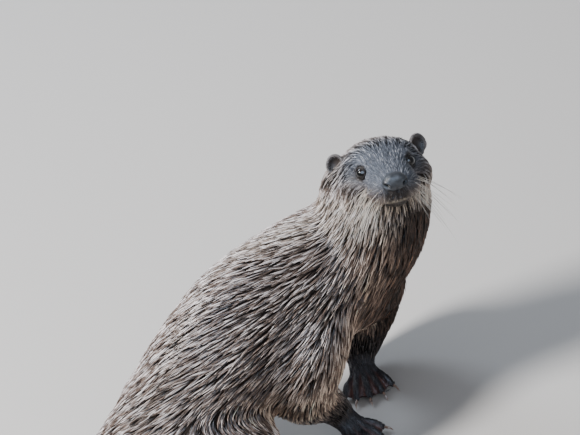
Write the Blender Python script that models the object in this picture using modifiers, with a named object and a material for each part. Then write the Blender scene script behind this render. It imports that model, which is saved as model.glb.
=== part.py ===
"""A life-size Eurasian otter with a wet coat, standing with its rump low and its head turned to its right.

Metres, +Z up. +X runs from the tail to the chest, +Y is the otter's left. The origin is on the floor,
below the middle of the model's box.
"""

import math

import bmesh
import bpy
from mathutils import Matrix, Vector

CM = 0.01
GAP = 0.0003  # between pieces that meet
VOXEL = 0.0021  # the flesh is fused at this size
FLESH_TRIANGLES = 3400
RING_SIDES = 28
STEPS = 5  # rings between two stations of a loft

# The head's pose: it looks back over the right shoulder and a little up.
HEAD_ANCHOR = (8.5, -4.3, 31.8)  # midway between the eyes, in cm
HEAD_TURN, HEAD_LIFT, HEAD_TILT = -97.2, 19.3, -6.5  # degrees: yaw from +X, pitch, roll

EYE_RADIUS = 0.66
EYE_AT = (0.05, 2.67, 0.0)  # forward, sideways, up from the anchor
EAR_AT = (-4.6, 4.6, 0.25)
NOSE_AT = (4.55, 0.0, -0.5)
NOSE_RADII = (0.8, 1.15, 0.85)
EAR_OPEN = 32.0  # degrees the ear's face is turned outwards from straight ahead
# The ear's cup from its back to its front: radius, then height towards the opening, in cm.
EAR_PROFILE = [
    (0.3, -0.62),
    (0.88, -0.38),
    (1.16, 0.16),
    (1.03, 0.26),
    (0.72, -0.08),
    (0.2, -0.22),
]

COLOURS = {
    "coat": ((0.19, 0.135, 0.10), 0.5),
    "nose": ((0.045, 0.048, 0.055), 0.35),
    "eye": ((0.012, 0.009, 0.008), 0.06),
    "claw": ((0.48, 0.33, 0.27), 0.4),
}

# Stations: centre x, y, z, then half width, half height above and below the line, all in cm.
SPINE = [
    (-32.6, -2.2, 6.0, 2.6, 2.4, 2.4),
    (-30.0, -2.6, 8.2, 4.2, 3.9, 3.7),
    (-26.6, -2.9, 10.2, 5.3, 4.8, 5.3),
    (-22.2, -3.0, 12.2, 6.3, 6.1, 6.9),
    (-16.8, -2.4, 14.6, 6.9, 7.8, 7.7),
    (-9.8, -1.1, 17.0, 7.1, 9.0, 7.7),
    (-3.4, 0.1, 18.3, 7.0, 8.1, 7.9),
    (1.6, 0.5, 18.9, 6.8, 7.2, 7.4),
    (4.6, 0.5, 18.9, 5.6, 6.0, 6.2),
]
NECK = [
    (0.6, 0.6, 15.0, 5.4, 5.4, 5.4),
    (2.6, 0.4, 18.4, 6.2, 6.2, 6.2),
    (4.7, -0.3, 21.8, 6.5, 6.0, 6.8),
    (6.6, -1.0, 24.6, 6.3, 5.6, 6.5),
    (7.9, -1.3, 26.8, 5.8, 5.2, 5.9),
    (8.6, -1.2, 28.3, 4.9, 4.2, 4.9),
]
TAIL = [
    (-27.5, -2.9, 9.6, 4.3, 3.8, 3.8),
    (-31.4, -2.5, 7.2, 3.7, 3.2, 3.2),
    (-35.6, -1.5, 4.4, 3.1, 2.7, 2.7),
    (-40.6, 0.5, 2.6, 2.65, 2.25, 2.3),
    (-46.6, 2.6, 1.98, 2.2, 1.85, 2.06),
    (-52.6, 3.6, 1.66, 1.8, 1.5, 1.74),
    (-58.6, 3.4, 1.34, 1.4, 1.15, 1.42),
    (-64.2, 2.1, 1.0, 1.0, 0.85, 1.08),
    (-68.4, 0.6, 0.72, 0.55, 0.55, 0.76),
]
# Head stations run forward from the nape: forward, half width, top, bottom, from the eyes' line.
HEAD = [
    (-9.2, 2.6, -0.3, -4.6),
    (-8.3, 3.6, 0.8, -5.2),
    (-6.9, 4.2, 1.55, -5.4),
    (-5.0, 4.5, 1.95, -5.1),
    (-3.2, 4.55, 2.1, -4.8),
    (-1.7, 4.0, 2.0, -4.5),
    (-0.5, 3.3, 1.7, -4.2),
    (0.8, 2.8, 1.2, -4.0),
    (2.2, 2.7, 0.75, -3.8),
    (3.5, 2.55, 0.35, -3.5),
    (4.4, 2.05, 0.05, -3.0),
    (4.9, 1.3, -0.4, -2.3),
]
LEGS = {
    "foreleg_right": [
        (-4.0, -3.5, 17.2, 4.8),
        (-6.7, -5.0, 13.8, 5.0),
        (-8.0, -5.0, 10.6, 4.5),
        (-7.3, -4.4, 7.9, 3.5),
        (-5.7, -3.4, 5.3, 2.5),
        (-4.4, -2.8, 3.0, 1.95),
    ],
    "foreleg_left": [
        (3.2, 2.8, 17.0, 4.6),
        (4.0, 3.8, 13.9, 4.5),
        (4.8, 4.9, 10.6, 4.1),
        (4.5, 5.4, 7.9, 3.5),
        (3.2, 5.5, 5.2, 2.9),
        (1.8, 5.2, 3.0, 2.2),
    ],
    "hindleg_right": [
        (-21.8, -4.8, 12.2, 5.3),
        (-18.6, -6.9, 10.0, 5.0),
        (-15.9, -8.0, 7.5, 3.9),
        (-18.5, -8.5, 4.9, 2.7),
        (-21.6, -8.6, 3.0, 1.9),
    ],
    "hindleg_left": [
        (-22.2, -0.8, 12.2, 5.3),
        (-19.4, 1.6, 10.0, 5.0),
        (-17.0, 3.0, 7.5, 3.9),
        (-19.8, 3.6, 4.9, 2.7),
        (-23.0, 3.7, 3.0, 1.9),
    ],
}
MOUNDS = [
    ((3.8, 1.0, 15.2), (4.8, 4.8, 5.6)),  # breast
    ((8.6, -0.2, 27.8), (4.3, 4.6, 4.4)),  # nape
    ((5.5, 0.3, 26.8), (3.8, 4.2, 4.2)),  # scruff
]
# A foreleg is cut out of the flesh as a plug a little wider than the limb, ending flat at the wrist.
PLUG_MARGIN = 0.75
# A hind leg is cut out as an egg round the thigh, knee and hock, flat below: centre and radii in cm.
THIGHS = {
    "hindleg_right": ((-19.2, -8.6, 7.6), (7.8, 5.6, 6.6)),
    "hindleg_left": ((-19.6, 3.4, 7.6), (8.2, 5.6, 6.6)),
}
EGG = [(0.8, -0.65), (0.96, -0.3), (1.0, 0.0), (0.93, 0.37), (0.72, 0.7), (0.4, 0.92), (0.1, 1.0)]
# A point inside each length of the body and each paw, in cm, by which the cut pieces are named.
INSIDE = {
    "head": (7.6, -3.8, 29.3),
    "neck": (6.5, -0.2, 22.8),
    "trunk_front": (-1.5, -0.3, 18.0),
    "trunk_rear": (-19.8, -1.7, 15.0),
    "tail_base": (-34.0, -2.1, 6.1),
    "tail_middle": (-47.7, 1.7, 2.4),
    "tail_tip": (-62.2, 2.7, 1.4),
    "forepaw_right": (-3.1, -4.9, 2.0),
    "forepaw_left": (0.5, 3.1, 1.9),
    "hindfoot_right": (-17.7, -10.0, 2.3),
    "hindfoot_left": (-19.1, 4.9, 2.3),
}
# Thin cuts between the lengths of the body: a point on the spine, in cm, then the direction along it.
CUTS = {
    "head": ((8.5, -2.5, 26.2), (0.0, -0.35, 0.94)),
    "neck": ((3.6, 0.0, 21.5), (0.75, -0.1, 0.66)),
    "trunk_front": ((-9.6, -1.1, 17.0), (0.94, 0.15, 0.25)),
    "trunk_rear": ((-29.2, -2.7, 8.6), (0.74, -0.1, 0.6)),
    "tail_base": ((-40.6, 0.5, 2.6), (0.95, -0.3, 0.1)),
    "tail_middle": ((-55.6, 3.6, 1.5), (1.0, 0.0, 0.0)),
}
# A paw: wrist or heel x, y, z, heading in degrees from +X, length to the toes' roots, width there,
# toe length, toe radius and the whole spread of the toes in degrees.
PAWS = {
    "forepaw_right": (-4.4, -2.8, 2.6, -72.0, 3.1, 3.7, 2.9, 0.56, 62.0),
    "forepaw_left": (1.5, 5.1, 2.6, -104.0, 3.2, 3.8, 3.0, 0.58, 64.0),
    "hindfoot_right": (-21.8, -8.6, 2.2, -10.0, 5.6, 4.3, 4.2, 0.6, 46.0),
    "hindfoot_left": (-23.2, 3.7, 2.2, 8.0, 5.6, 4.3, 4.2, 0.6, 46.0),
}
TOE_SHARE = (0.72, 0.94, 1.0, 0.97, 0.86)  # of the toe length, from one side of the paw to the other
CLAW_LENGTH, CLAW_RADIUS = 0.95, 0.2


def clear_scene():
    for obj in list(bpy.data.objects):
        bpy.data.objects.remove(obj)


def make_collection(name):
    collection = bpy.data.collections.new(name)
    bpy.context.scene.collection.children.link(collection)
    return collection


def make_material(name):
    colour, roughness = COLOURS[name]
    material = bpy.data.materials.new(name)
    material.use_nodes = True
    shader = material.node_tree.nodes["Principled BSDF"]
    shader.inputs["Base Color"].default_value = (*colour, 1)
    shader.inputs["Roughness"].default_value = roughness
    return material


def new_object(name, mesh, collection):
    obj = bpy.data.objects.new(name, mesh)
    collection.objects.link(obj)
    return obj


def catmull(rows, steps):
    """Rows of numbers on a smooth curve through the given rows."""
    ends = [rows[0], *rows, rows[-1]]
    found = []
    for i in range(1, len(ends) - 2):
        a, b, c, d = ends[i - 1 : i + 3]
        for k in range(steps):
            t = k / steps
            found.append(
                tuple(
                    0.5
                    * (
                        2 * q
                        + (r - p) * t
                        + (2 * p - 5 * q + 4 * r - s) * t**2
                        + (3 * q - p - 3 * r + s) * t**3
                    )
                    for p, q, r, s in zip(a, b, c, d)
                )
            )
    found.append(tuple(rows[-1]))
    return found


def rounded(stations, half_sizes):
    """Adds a small ring beyond each end, so that a loft closes in a dome."""
    first, second = Vector(stations[0][:3]), Vector(stations[1][:3])
    last, before = Vector(stations[-1][:3]), Vector(stations[-2][:3])
    reach = 0.55
    made = []
    for end, inner, row in ((first, second, stations[0]), (last, before, stations[-1])):
        out = (end - inner).normalized()
        size = min(row[3 : 3 + half_sizes])
        for share, shrink in ((reach, 0.72), (reach * 1.55, 0.25)):
            point = end + out * size * share
            made.append((*point, *[v * shrink for v in row[3 : 3 + half_sizes]]))
    return [made[1], made[0], *stations, made[2], made[3]]


def loft(bm, rings):
    """Skins closed rings of equal count and caps both ends."""
    loops = [[bm.verts.new(p) for p in ring] for ring in rings]
    count = len(loops[0])
    for lower, upper in zip(loops, loops[1:]):
        for i in range(count):
            j = (i + 1) % count
            bm.faces.new((lower[i], lower[j], upper[j], upper[i]))
    bm.faces.new(loops[0][::-1])
    bm.faces.new(loops[-1])


def oval(centre, forward, width, above, below, up=Vector((0, 0, 1))):
    """A closed ring of points round the forward direction."""
    side = up.cross(forward).normalized()
    rise = forward.cross(side)
    points = []
    for i in range(RING_SIDES):
        angle = math.tau * i / RING_SIDES
        lift = math.sin(angle)
        points.append(centre + side * width * math.cos(angle) + rise * lift * (above if lift > 0 else below))
    return points


def add_body_loft(bm, stations):
    rows = catmull(rounded(stations, 3), STEPS)
    centres = [Vector(row[:3]) * CM for row in rows]
    rings = []
    for i, row in enumerate(rows):
        forward = (centres[min(i + 1, len(rows) - 1)] - centres[max(i - 1, 0)]).normalized()
        rings.append(oval(centres[i], forward, *[v * CM for v in row[3:6]]))
    loft(bm, rings)


def add_limb(bm, stations, margin=0.0):
    """A round limb with domed ends, or with a margin, a wider plug with flat ends."""
    rows = [(*s[:3], *[s[3] + margin] * 3) for s in stations]
    rows = rows if margin else catmull(rounded(rows, 3), STEPS)
    centres = [Vector(row[:3]) * CM for row in rows]
    rings = []
    for i, row in enumerate(rows):
        forward = (centres[min(i + 1, len(rows) - 1)] - centres[max(i - 1, 0)]).normalized()
        ring = oval(centres[i], forward, *[v * CM for v in row[3:6]], up=Vector((0, 1, 0.01)))
        rings.append(ring[::2] if margin else ring)
    loft(bm, rings)


def add_ball(bm, matrix, radii, segments=20, rings=12):
    scale = Matrix.Diagonal((*[r * CM for r in radii], 1))
    bmesh.ops.create_uvsphere(bm, u_segments=segments, v_segments=rings, radius=1, matrix=matrix @ scale)


def head_matrix():
    turn = Matrix.Rotation(math.radians(HEAD_TURN), 4, "Z")
    lift = Matrix.Rotation(-math.radians(HEAD_LIFT), 4, "Y")
    tilt = Matrix.Rotation(math.radians(HEAD_TILT), 4, "X")
    return Matrix.Translation(Vector(HEAD_ANCHOR) * CM) @ turn @ lift @ tilt


def at_head(forward, side, up):
    return head_matrix() @ Matrix.Translation(Vector((forward, side, up)) * CM)


def squared(value, power):
    return math.copysign(abs(value) ** power, value)


def add_head(bm):
    """The skull's loft, with squarish sections, then the muzzle, cheeks, brows and chin as mounds."""
    frame = head_matrix()
    rows = catmull([HEAD[0], *HEAD, HEAD[-1]], STEPS)
    rings = []
    for forward, width, top, bottom in rows:
        middle, half = (top + bottom) / 2, (top - bottom) / 2
        ring = []
        for i in range(RING_SIDES):
            angle = math.tau * i / RING_SIDES
            side = squared(math.cos(angle), 0.85) * width
            lift = middle + squared(math.sin(angle), 0.85) * half
            ring.append(frame @ (Vector((forward, side, lift)) * CM))
        rings.append(ring)
    loft(bm, rings)
    for side in (1, -1):
        add_ball(bm, at_head(2.95, side * 1.5, -1.75), (1.85, 1.65, 1.35))  # whisker pad
        add_ball(bm, at_head(-2.8, side * 3.0, -2.4), (3.3, 2.3, 2.3))  # cheek
        add_ball(bm, at_head(-0.6, side * 2.3, 0.8), (1.4, 0.8, 0.5))  # brow
    add_ball(bm, at_head(2.8, 0, -3.0), (2.1, 1.7, 1.0))  # chin
    add_ball(bm, at_head(4.0, 0, -0.8), (1.2, 1.6, 1.0))  # nose's base
    add_ball(bm, at_head(-4.4, 0, -4.2), (4.2, 4.4, 2.6))  # throat


def toe_angles(paw):
    spread = PAWS[paw][8]
    return [math.radians(spread * (i / 4 - 0.5)) for i in range(5)]


def toe_line(paw, index):
    """A toe's points, from its root over the knuckle to the tip, in cm."""
    x, y, _, heading, reach, width, length, radius, _ = PAWS[paw]
    turn = math.radians(heading)
    ahead, across = Vector((math.cos(turn), math.sin(turn), 0)), Vector((-math.sin(turn), math.cos(turn), 0))
    angle = toe_angles(paw)[index]
    out = ahead * math.cos(angle) + across * math.sin(angle)
    order = index if paw.endswith("right") else 4 - index
    toe = length * TOE_SHARE[::-1][order]
    root = Vector((x, y, 0)) + ahead * reach * 0.92 + across * width * 0.4 * (index / 2 - 1)
    root -= ahead * reach * 0.1 * (index / 2 - 1) ** 2
    heights = (radius * 2.1, radius * 2.25, radius * 1.55, radius * 0.88)
    shares = (0.0, 0.42, 0.76, 1.0)
    return [root + out * toe * s + Vector((0, 0, h)) for s, h in zip(shares, heights)], out


def add_paw(bm, paw):
    x, y, z, heading, reach, width, length, radius, _ = PAWS[paw]
    turn = math.radians(heading)
    ahead = Vector((math.cos(turn), math.sin(turn), 0))
    heel = Vector((x, y, z))
    front = Vector((x, y, radius * 2.0)) + ahead * reach
    palm = [
        (*heel, 1.75, 1.5, 1.5),
        (*heel.lerp(front, 0.5), width * 0.42, 1.15, 1.15),
        (*front, width / 2, 0.85, 0.9),
    ]
    add_body_loft(bm, palm)
    for index in range(5):
        line, _ = toe_line(paw, index)
        sizes = (radius * 1.05, radius * 1.0, radius * 0.95, radius * 0.85)
        add_body_loft(bm, [(*p, r, r, r) for p, r in zip(line, sizes)])
    for index in range(4):
        (a, _), (b, _) = toe_line(paw, index), toe_line(paw, index + 1)
        start = (a[0] + b[0]) / 2 - ahead * 0.4
        end = (a[2] + b[2]) / 2
        mid = start.lerp(end, 0.5)
        apart = [(a[k] - b[k]).length / 2 for k in (0, 1, 2)]
        thin = 0.26
        rows = [(*start, apart[0], thin, thin), (*mid, apart[1], thin, thin), (*end, apart[2] * 0.95, thin, thin)]
        add_body_loft(bm, rows)
    if paw.startswith("fore"):
        pad = heel + ahead * reach * 0.75
        add_ball(bm, Matrix.Translation(Vector((pad.x, pad.y, 0.62)) * CM), (1.35, 1.35, 0.75))
    else:
        for share, size in ((0.05, 1.25), (0.45, 1.3), (0.85, 1.6)):
            pad = heel + ahead * reach * share
            add_ball(bm, Matrix.Translation(Vector((pad.x, pad.y, 0.75)) * CM), (1.5, size, 0.9))


def evaluated_copy(obj, name, collection):
    """The object's mesh with its modifiers applied, as a new object."""
    graph = bpy.context.evaluated_depsgraph_get()
    mesh = bpy.data.meshes.new_from_object(obj.evaluated_get(graph))
    made = new_object(name, mesh, collection)
    made.matrix_world = obj.matrix_world
    return made


def make_flesh(helpers):
    """Every mound and limb fused into one smooth skin, flat where it meets the floor."""
    bm = bmesh.new()
    add_body_loft(bm, SPINE)
    add_body_loft(bm, NECK)
    add_body_loft(bm, TAIL)
    for stations in LEGS.values():
        add_limb(bm, stations)
    for paw in PAWS:
        add_paw(bm, paw)
    add_head(bm)
    for place, radii in MOUNDS:
        add_ball(bm, Matrix.Translation(Vector(place) * CM), radii)
    bmesh.ops.recalc_face_normals(bm, faces=bm.faces)
    mesh = bpy.data.meshes.new("mounds")
    bm.to_mesh(mesh)
    bm.free()
    mounds = new_object("mounds", mesh, helpers)
    fuse = mounds.modifiers.new("fuse", "REMESH")
    fuse.mode, fuse.voxel_size = "VOXEL", VOXEL
    bpy.context.view_layer.update()
    fine = evaluated_copy(mounds, "fine", helpers)
    broad = fine.vertex_groups.new(name="broad")
    inward = head_matrix().inverted()
    for vertex in fine.data.vertices:
        ahead = (inward @ vertex.co).x / CM
        height = vertex.co.z / CM
        share = min(1, max(0, (height - 2.6) / 2.0))
        if (inward @ vertex.co).z / CM > -6.0:
            share *= min(1, max(0.12, (-3.2 - ahead) / 3.0))
        broad.add([vertex.index], share, "REPLACE")
    for name, count, group in (("soften", 5, ""), ("blend", 100, "broad")):
        smooth = fine.modifiers.new(name, "SMOOTH")
        smooth.factor, smooth.iterations, smooth.vertex_group = 0.5, count, group
    faces = sum(len(p.vertices) - 2 for p in fine.data.polygons)
    coarsen = fine.modifiers.new("coarsen", "DECIMATE")
    coarsen.ratio = FLESH_TRIANGLES / faces
    bpy.context.view_layer.update()
    return evaluated_copy(fine, "flesh", helpers)


def mesh_object(name, bm, collection):
    bmesh.ops.recalc_face_normals(bm, faces=bm.faces)
    mesh = bpy.data.meshes.new(name)
    bm.to_mesh(mesh)
    bm.free()
    return new_object(name, mesh, collection)


def swollen(bm, amount=GAP):
    """Moves every face of a closed mesh outwards by about the given amount."""
    bmesh.ops.recalc_face_normals(bm, faces=bm.faces)
    bm.normal_update()
    for vertex in bm.verts:
        vertex.co += vertex.normal * amount * min(1.6, vertex.calc_shell_factor())


def turned(profile, matrix, sides):
    """A closed body of revolution: profile rows are radius and height along the matrix's Z, in cm."""
    bm = bmesh.new()
    rings = []
    for radius, height in profile:
        ring = []
        for i in range(sides):
            angle = math.tau * i / sides
            ring.append(matrix @ (Vector((math.cos(angle) * radius, math.sin(angle) * radius, height)) * CM))
        rings.append(ring)
    loft(bm, rings)
    return bm


def plug_mesh(name):
    """What a leg is cut out with, in triangles, so that its swollen copy keeps the same facets."""
    if name in THIGHS:
        centre, radii = THIGHS[name]
        bm = turned(EGG, Matrix.Translation(Vector(centre) * CM) @ Matrix.Diagonal((*radii, 1)), 14)
    else:
        bm = bmesh.new()
        add_limb(bm, LEGS[name], PLUG_MARGIN)
    bmesh.ops.triangulate(bm, faces=bm.faces)
    return bm


def eye_mesh(side):
    bm = bmesh.new()
    add_ball(bm, at_head(EYE_AT[0], side * EYE_AT[1], EYE_AT[2]), (EYE_RADIUS,) * 3, 12, 8)
    return bm


def nose_mesh():
    bm = bmesh.new()
    add_ball(bm, at_head(*NOSE_AT), NOSE_RADII, 12, 8)
    return bm


def ear_mesh(side):
    """A small round cup, open to the front and outwards."""
    place = at_head(EAR_AT[0], side * EAR_AT[1], EAR_AT[2])
    face = Matrix.Rotation(math.radians(EAR_OPEN * side), 4, "Z") @ Matrix.Rotation(math.radians(75), 4, "Y")
    return turned(EAR_PROFILE, place @ face @ Matrix.Diagonal((1.12, 1.0, 1.0, 1.0)), 14)


def claw_mesh(paw, index):
    """A short claw that leaves the toe's tip forwards and bends down to just above the floor."""
    line, out = toe_line(paw, index)
    tip = line[3]
    points = [tip + out * ahead * CLAW_LENGTH for ahead in (0.0, 0.6, 1.12)]
    for point, height in zip(points, (0.56, 0.48, 0.13)):
        point.z = height
    bm = bmesh.new()
    rings = []
    for point, share in zip(points, (1.0, 0.85, 0.24)):
        rings.append(oval(point * CM, out, *[CLAW_RADIUS * share * CM * k for k in (0.85, 1.0, 1.0)])[::5])
    loft(bm, rings)
    return bm


def boolean(obj, operation, cutters):
    """Applies one exact boolean of the object with a collection of cutters or with a single object."""
    cut = obj.modifiers.new("cut", "BOOLEAN")
    cut.operation, cut.solver = operation, "EXACT"
    if isinstance(cutters, bpy.types.Collection):
        cut.operand_type, cut.collection = "COLLECTION", cutters
    else:
        cut.object = cutters
    bpy.context.view_layer.update()
    mesh = bpy.data.meshes.new_from_object(obj.evaluated_get(bpy.context.evaluated_depsgraph_get()))
    obj.modifiers.remove(cut)
    obj.data = mesh


def slab(name, centre, along, reach, thickness, collection):
    """A thin disc across the given direction."""
    frame = Vector(along).to_track_quat("Z", "Y").to_matrix().to_4x4()
    half = thickness / CM / 2
    profile = [(reach, -half), (reach, half)]
    return mesh_object(name, turned(profile, Matrix.Translation(Vector(centre) * CM) @ frame, 24), collection)


def loose_parts(obj, collection):
    """The object's separate closed shells, as new objects."""
    bm = bmesh.new()
    bm.from_mesh(obj.data)
    left = set(bm.verts)
    parts = []
    while left:
        group, edge = set(), [left.pop()]
        while edge:
            vertex = edge.pop()
            group.add(vertex)
            for link in vertex.link_edges:
                other = link.other_vert(vertex)
                if other in left:
                    left.discard(other)
                    edge.append(other)
        index = {vertex: i for i, vertex in enumerate(group)}
        mesh = bpy.data.meshes.new("part")
        faces = {face for vertex in group for face in vertex.link_faces}
        mesh.from_pydata([v.co for v in index], [], [[index[v] for v in f.verts] for f in faces])
        parts.append(new_object("part", mesh, collection))
    bm.free()
    return parts


def span(objects):
    """The least and greatest corner of the objects' vertices."""
    points = [vertex.co for obj in objects for vertex in obj.data.vertices]
    low = Vector([min(p[k] for p in points) for k in range(3)])
    high = Vector([max(p[k] for p in points) for k in range(3)])
    return low, high


def part_sheets(bm, edge):
    """Where two sheets share one edge, gives one of them a point of its own at the middle of the edge."""
    faces = list(edge.link_faces)
    pairs = [(f, g) for i, f in enumerate(faces) for g in faces[i + 1 :]]
    first, second = max(pairs, key=lambda pair: pair[0].normal.dot(pair[1].normal))
    point = bm.verts.new((edge.verts[0].co + edge.verts[1].co) / 2)
    for face in (first, second):
        corners = list(face.verts)
        for k in range(3):
            a, b, c = corners[k], corners[(k + 1) % 3], corners[(k + 2) % 3]
            if {a, b} == set(edge.verts):
                bm.faces.new((a, point, c))
                bm.faces.new((point, b, c))
        bm.faces.remove(face)


def settle(objects):
    """Triangulates the pieces and puts the origin on the floor, below the middle of their common box."""
    low, high = span(objects)
    shift = Matrix.Translation((-(low.x + high.x) / 2, -(low.y + high.y) / 2, 0))
    for obj in objects:
        bm = bmesh.new()
        bm.from_mesh(obj.data)
        bmesh.ops.dissolve_limit(bm, angle_limit=math.radians(0.6), verts=bm.verts, edges=bm.edges)
        bmesh.ops.triangulate(bm, faces=bm.faces, ngon_method="EAR_CLIP")
        for _ in range(2):
            bmesh.ops.dissolve_degenerate(bm, dist=2e-5, edges=bm.edges)
            bmesh.ops.triangulate(bm, faces=bm.faces)
        for edge in [e for e in bm.edges if len(e.link_faces) == 4]:
            part_sheets(bm, edge)
        bmesh.ops.recalc_face_normals(bm, faces=bm.faces)
        bm.transform(shift)
        bm.to_mesh(obj.data)
        bm.free()


def main():
    clear_scene()
    otter = make_collection("otter")
    helpers = make_collection("helpers")
    pockets = make_collection("pockets")
    gaps = make_collection("gaps")
    materials = {name: make_material(name) for name in COLOURS}
    flesh = make_flesh(helpers)

    trim = {"nose": (nose_mesh, (), "nose")}
    for side, word in ((1, "left"), (-1, "right")):
        trim[f"eye_{word}"] = (eye_mesh, (side,), "eye")
        trim[f"ear_{word}"] = (ear_mesh, (side,), "coat")
    for paw in PAWS:
        for index in range(5):
            trim[f"claw_{paw}_{index + 1}"] = (claw_mesh, (paw, index), "claw")
    for name, (build, values, _) in trim.items():
        bm = build(*values)
        swollen(bm)
        mesh_object(f"pocket_{name}", bm, pockets)
    floor = bmesh.new()
    bmesh.ops.create_cube(floor, size=2, matrix=Matrix.Translation((0, 0, -1)))
    mesh_object("floor", floor, pockets)
    boolean(flesh, "DIFFERENCE", pockets)

    pieces = []
    sockets = {}
    for name in LEGS:
        leg = new_object(name, flesh.data.copy(), otter)
        boolean(leg, "INTERSECT", mesh_object(f"plug_{name}", plug_mesh(name), helpers))
        if name in THIGHS:  # the foreleg on the same side goes first where the two plugs meet
            boolean(leg, "DIFFERENCE", sockets[name.replace("hind", "fore")])
        socket = plug_mesh(name)
        swollen(socket)
        sockets[name] = mesh_object(f"socket_{name}", socket, gaps)
        pieces.append(leg)
    for name, (centre, along) in CUTS.items():
        slab(f"slab_{name}", centre, along, 11.0, GAP, gaps)
    boolean(flesh, "DIFFERENCE", gaps)
    for part in loose_parts(flesh, otter):
        low, high = span([part])
        centre = (low + high) / 2 / CM
        part.name = min(INSIDE, key=lambda name: (Vector(INSIDE[name]) - centre).length)
        pieces.append(part)
    for obj in pieces:
        obj.data.materials.clear()
        obj.data.materials.append(materials["coat"])
    for name, (build, values, look) in trim.items():
        obj = mesh_object(name, build(*values), otter)
        obj.data.materials.append(materials[look])
        pieces.append(obj)
    settle(pieces)
    for helper in (helpers, pockets, gaps):
        for obj in helper.objects:
            obj.hide_render = True
            obj.display_type = "WIRE"


main()
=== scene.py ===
"""A life-size Eurasian otter with a wet, clumped coat: skin, coat, eyes, nose, claws and whiskers.

Metres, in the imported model's frame: +X from the tail to the chest, +Y the otter's left, +Z up.
Tables of places and sizes are in centimetres, like the solids' own, unless they say otherwise.
"""

import math

import bmesh
import bpy
import numpy as np
from mathutils import Matrix, Vector
from mathutils.bvhtree import BVHTree
from mathutils.kdtree import KDTree


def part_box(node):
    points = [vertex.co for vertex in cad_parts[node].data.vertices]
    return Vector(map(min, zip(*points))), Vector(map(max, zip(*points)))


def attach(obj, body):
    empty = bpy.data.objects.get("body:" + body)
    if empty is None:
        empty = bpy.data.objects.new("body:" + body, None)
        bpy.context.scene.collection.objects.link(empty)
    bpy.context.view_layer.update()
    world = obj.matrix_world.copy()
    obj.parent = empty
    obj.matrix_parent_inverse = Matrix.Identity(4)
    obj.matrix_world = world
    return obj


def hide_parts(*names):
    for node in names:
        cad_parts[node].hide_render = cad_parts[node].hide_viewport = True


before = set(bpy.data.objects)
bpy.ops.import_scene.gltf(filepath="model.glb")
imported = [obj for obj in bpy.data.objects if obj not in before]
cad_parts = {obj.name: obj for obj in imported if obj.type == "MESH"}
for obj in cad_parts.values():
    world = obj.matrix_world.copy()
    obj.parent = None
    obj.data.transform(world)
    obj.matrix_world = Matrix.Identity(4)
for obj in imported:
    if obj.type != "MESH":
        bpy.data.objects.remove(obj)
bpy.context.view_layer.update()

CM = 0.01
MM = 0.001
UP = np.array([0.0, 0.0, 1.0])
SEED = 11
SIDES = ((1, "left"), (-1, "right"))
PAWS = ("forepaw_right", "forepaw_left", "hindfoot_right", "hindfoot_left")
LEGS = ("foreleg_right", "foreleg_left", "hindleg_right", "hindleg_left")
BODY = ("head", "neck", "trunk_front", "trunk_rear", "tail_base", "tail_middle", "tail_tip")


# ---------------- arithmetic


def smoothstep(start, end, value):
    """A soft step from 0 to 1, as value goes from start to end; end may be the lower of the two."""
    t = np.clip((value - start) / (end - start), 0, 1)
    return t * t * (3 - 2 * t)


def bell(*offsets):
    """1 where all the offsets are 0, falling off softly to either side."""
    return np.exp(-sum(offset**2 for offset in offsets))


def mixed(values, target, share):
    """Rows of values brought nearer to the target by each row's share."""
    return values + (np.array(target) - values) * np.reshape(share, (-1, 1))


def length_of(vectors):
    return np.linalg.norm(vectors, axis=-1, keepdims=True)


def unit(vectors):
    return vectors / np.maximum(length_of(vectors), 1e-9)


def along_skin(vectors, normals):
    """What is left of the vectors once their part along the normals is taken out."""
    return vectors - normals * (vectors * normals).sum(axis=1, keepdims=True)


def turn_of(matrix, vector):
    return matrix.to_3x3() @ Vector(vector)


def frame_of(*axes):
    return Matrix(axes).transposed().to_4x4()


def local_to(matrix, points):
    """Points in a frame's own axes, in cm."""
    back = np.array(matrix.inverted())
    return (points @ back[:3, :3].T + back[:3, 3]) / CM


def out_of(matrix, local):
    """Points given in cm in a frame's own axes, in metres in the scene."""
    turn = np.array(matrix)
    return local * CM @ turn[:3, :3].T + turn[:3, 3]


# ---------------- places

NOSE_AHEAD, NOSE_BELOW = 4.55, 0.5  # of the nose's middle from the point between the eyes
HEAD_PLACE = (8.5, -4.3, 31.8)  # the point between the eyes, from the origin of the tables


def middle(node):
    low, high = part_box(node)
    return (Vector(low) + Vector(high)) / 2


def head_frame():
    """The head's own frame: its origin between the eyes, X ahead, Y to its left, Z up."""
    left, right, nose = middle("eye_left"), middle("eye_right"), middle("nose")
    origin = (left + right) / 2
    side = (left - right).normalized()
    ahead = nose - origin
    ahead = (ahead - side * ahead.dot(side)).normalized()
    drop = math.atan2(NOSE_BELOW, NOSE_AHEAD)
    ahead = (ahead * math.cos(drop) + ahead.cross(side) * math.sin(drop)).normalized()
    return Matrix.Translation(origin) @ frame_of(ahead, side, ahead.cross(side))


HEAD = head_frame()
ORIGIN = HEAD.translation - Vector(HEAD_PLACE) * CM


def at_body(x, y, z):
    return ORIGIN + Vector((x, y, z)) * CM


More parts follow.
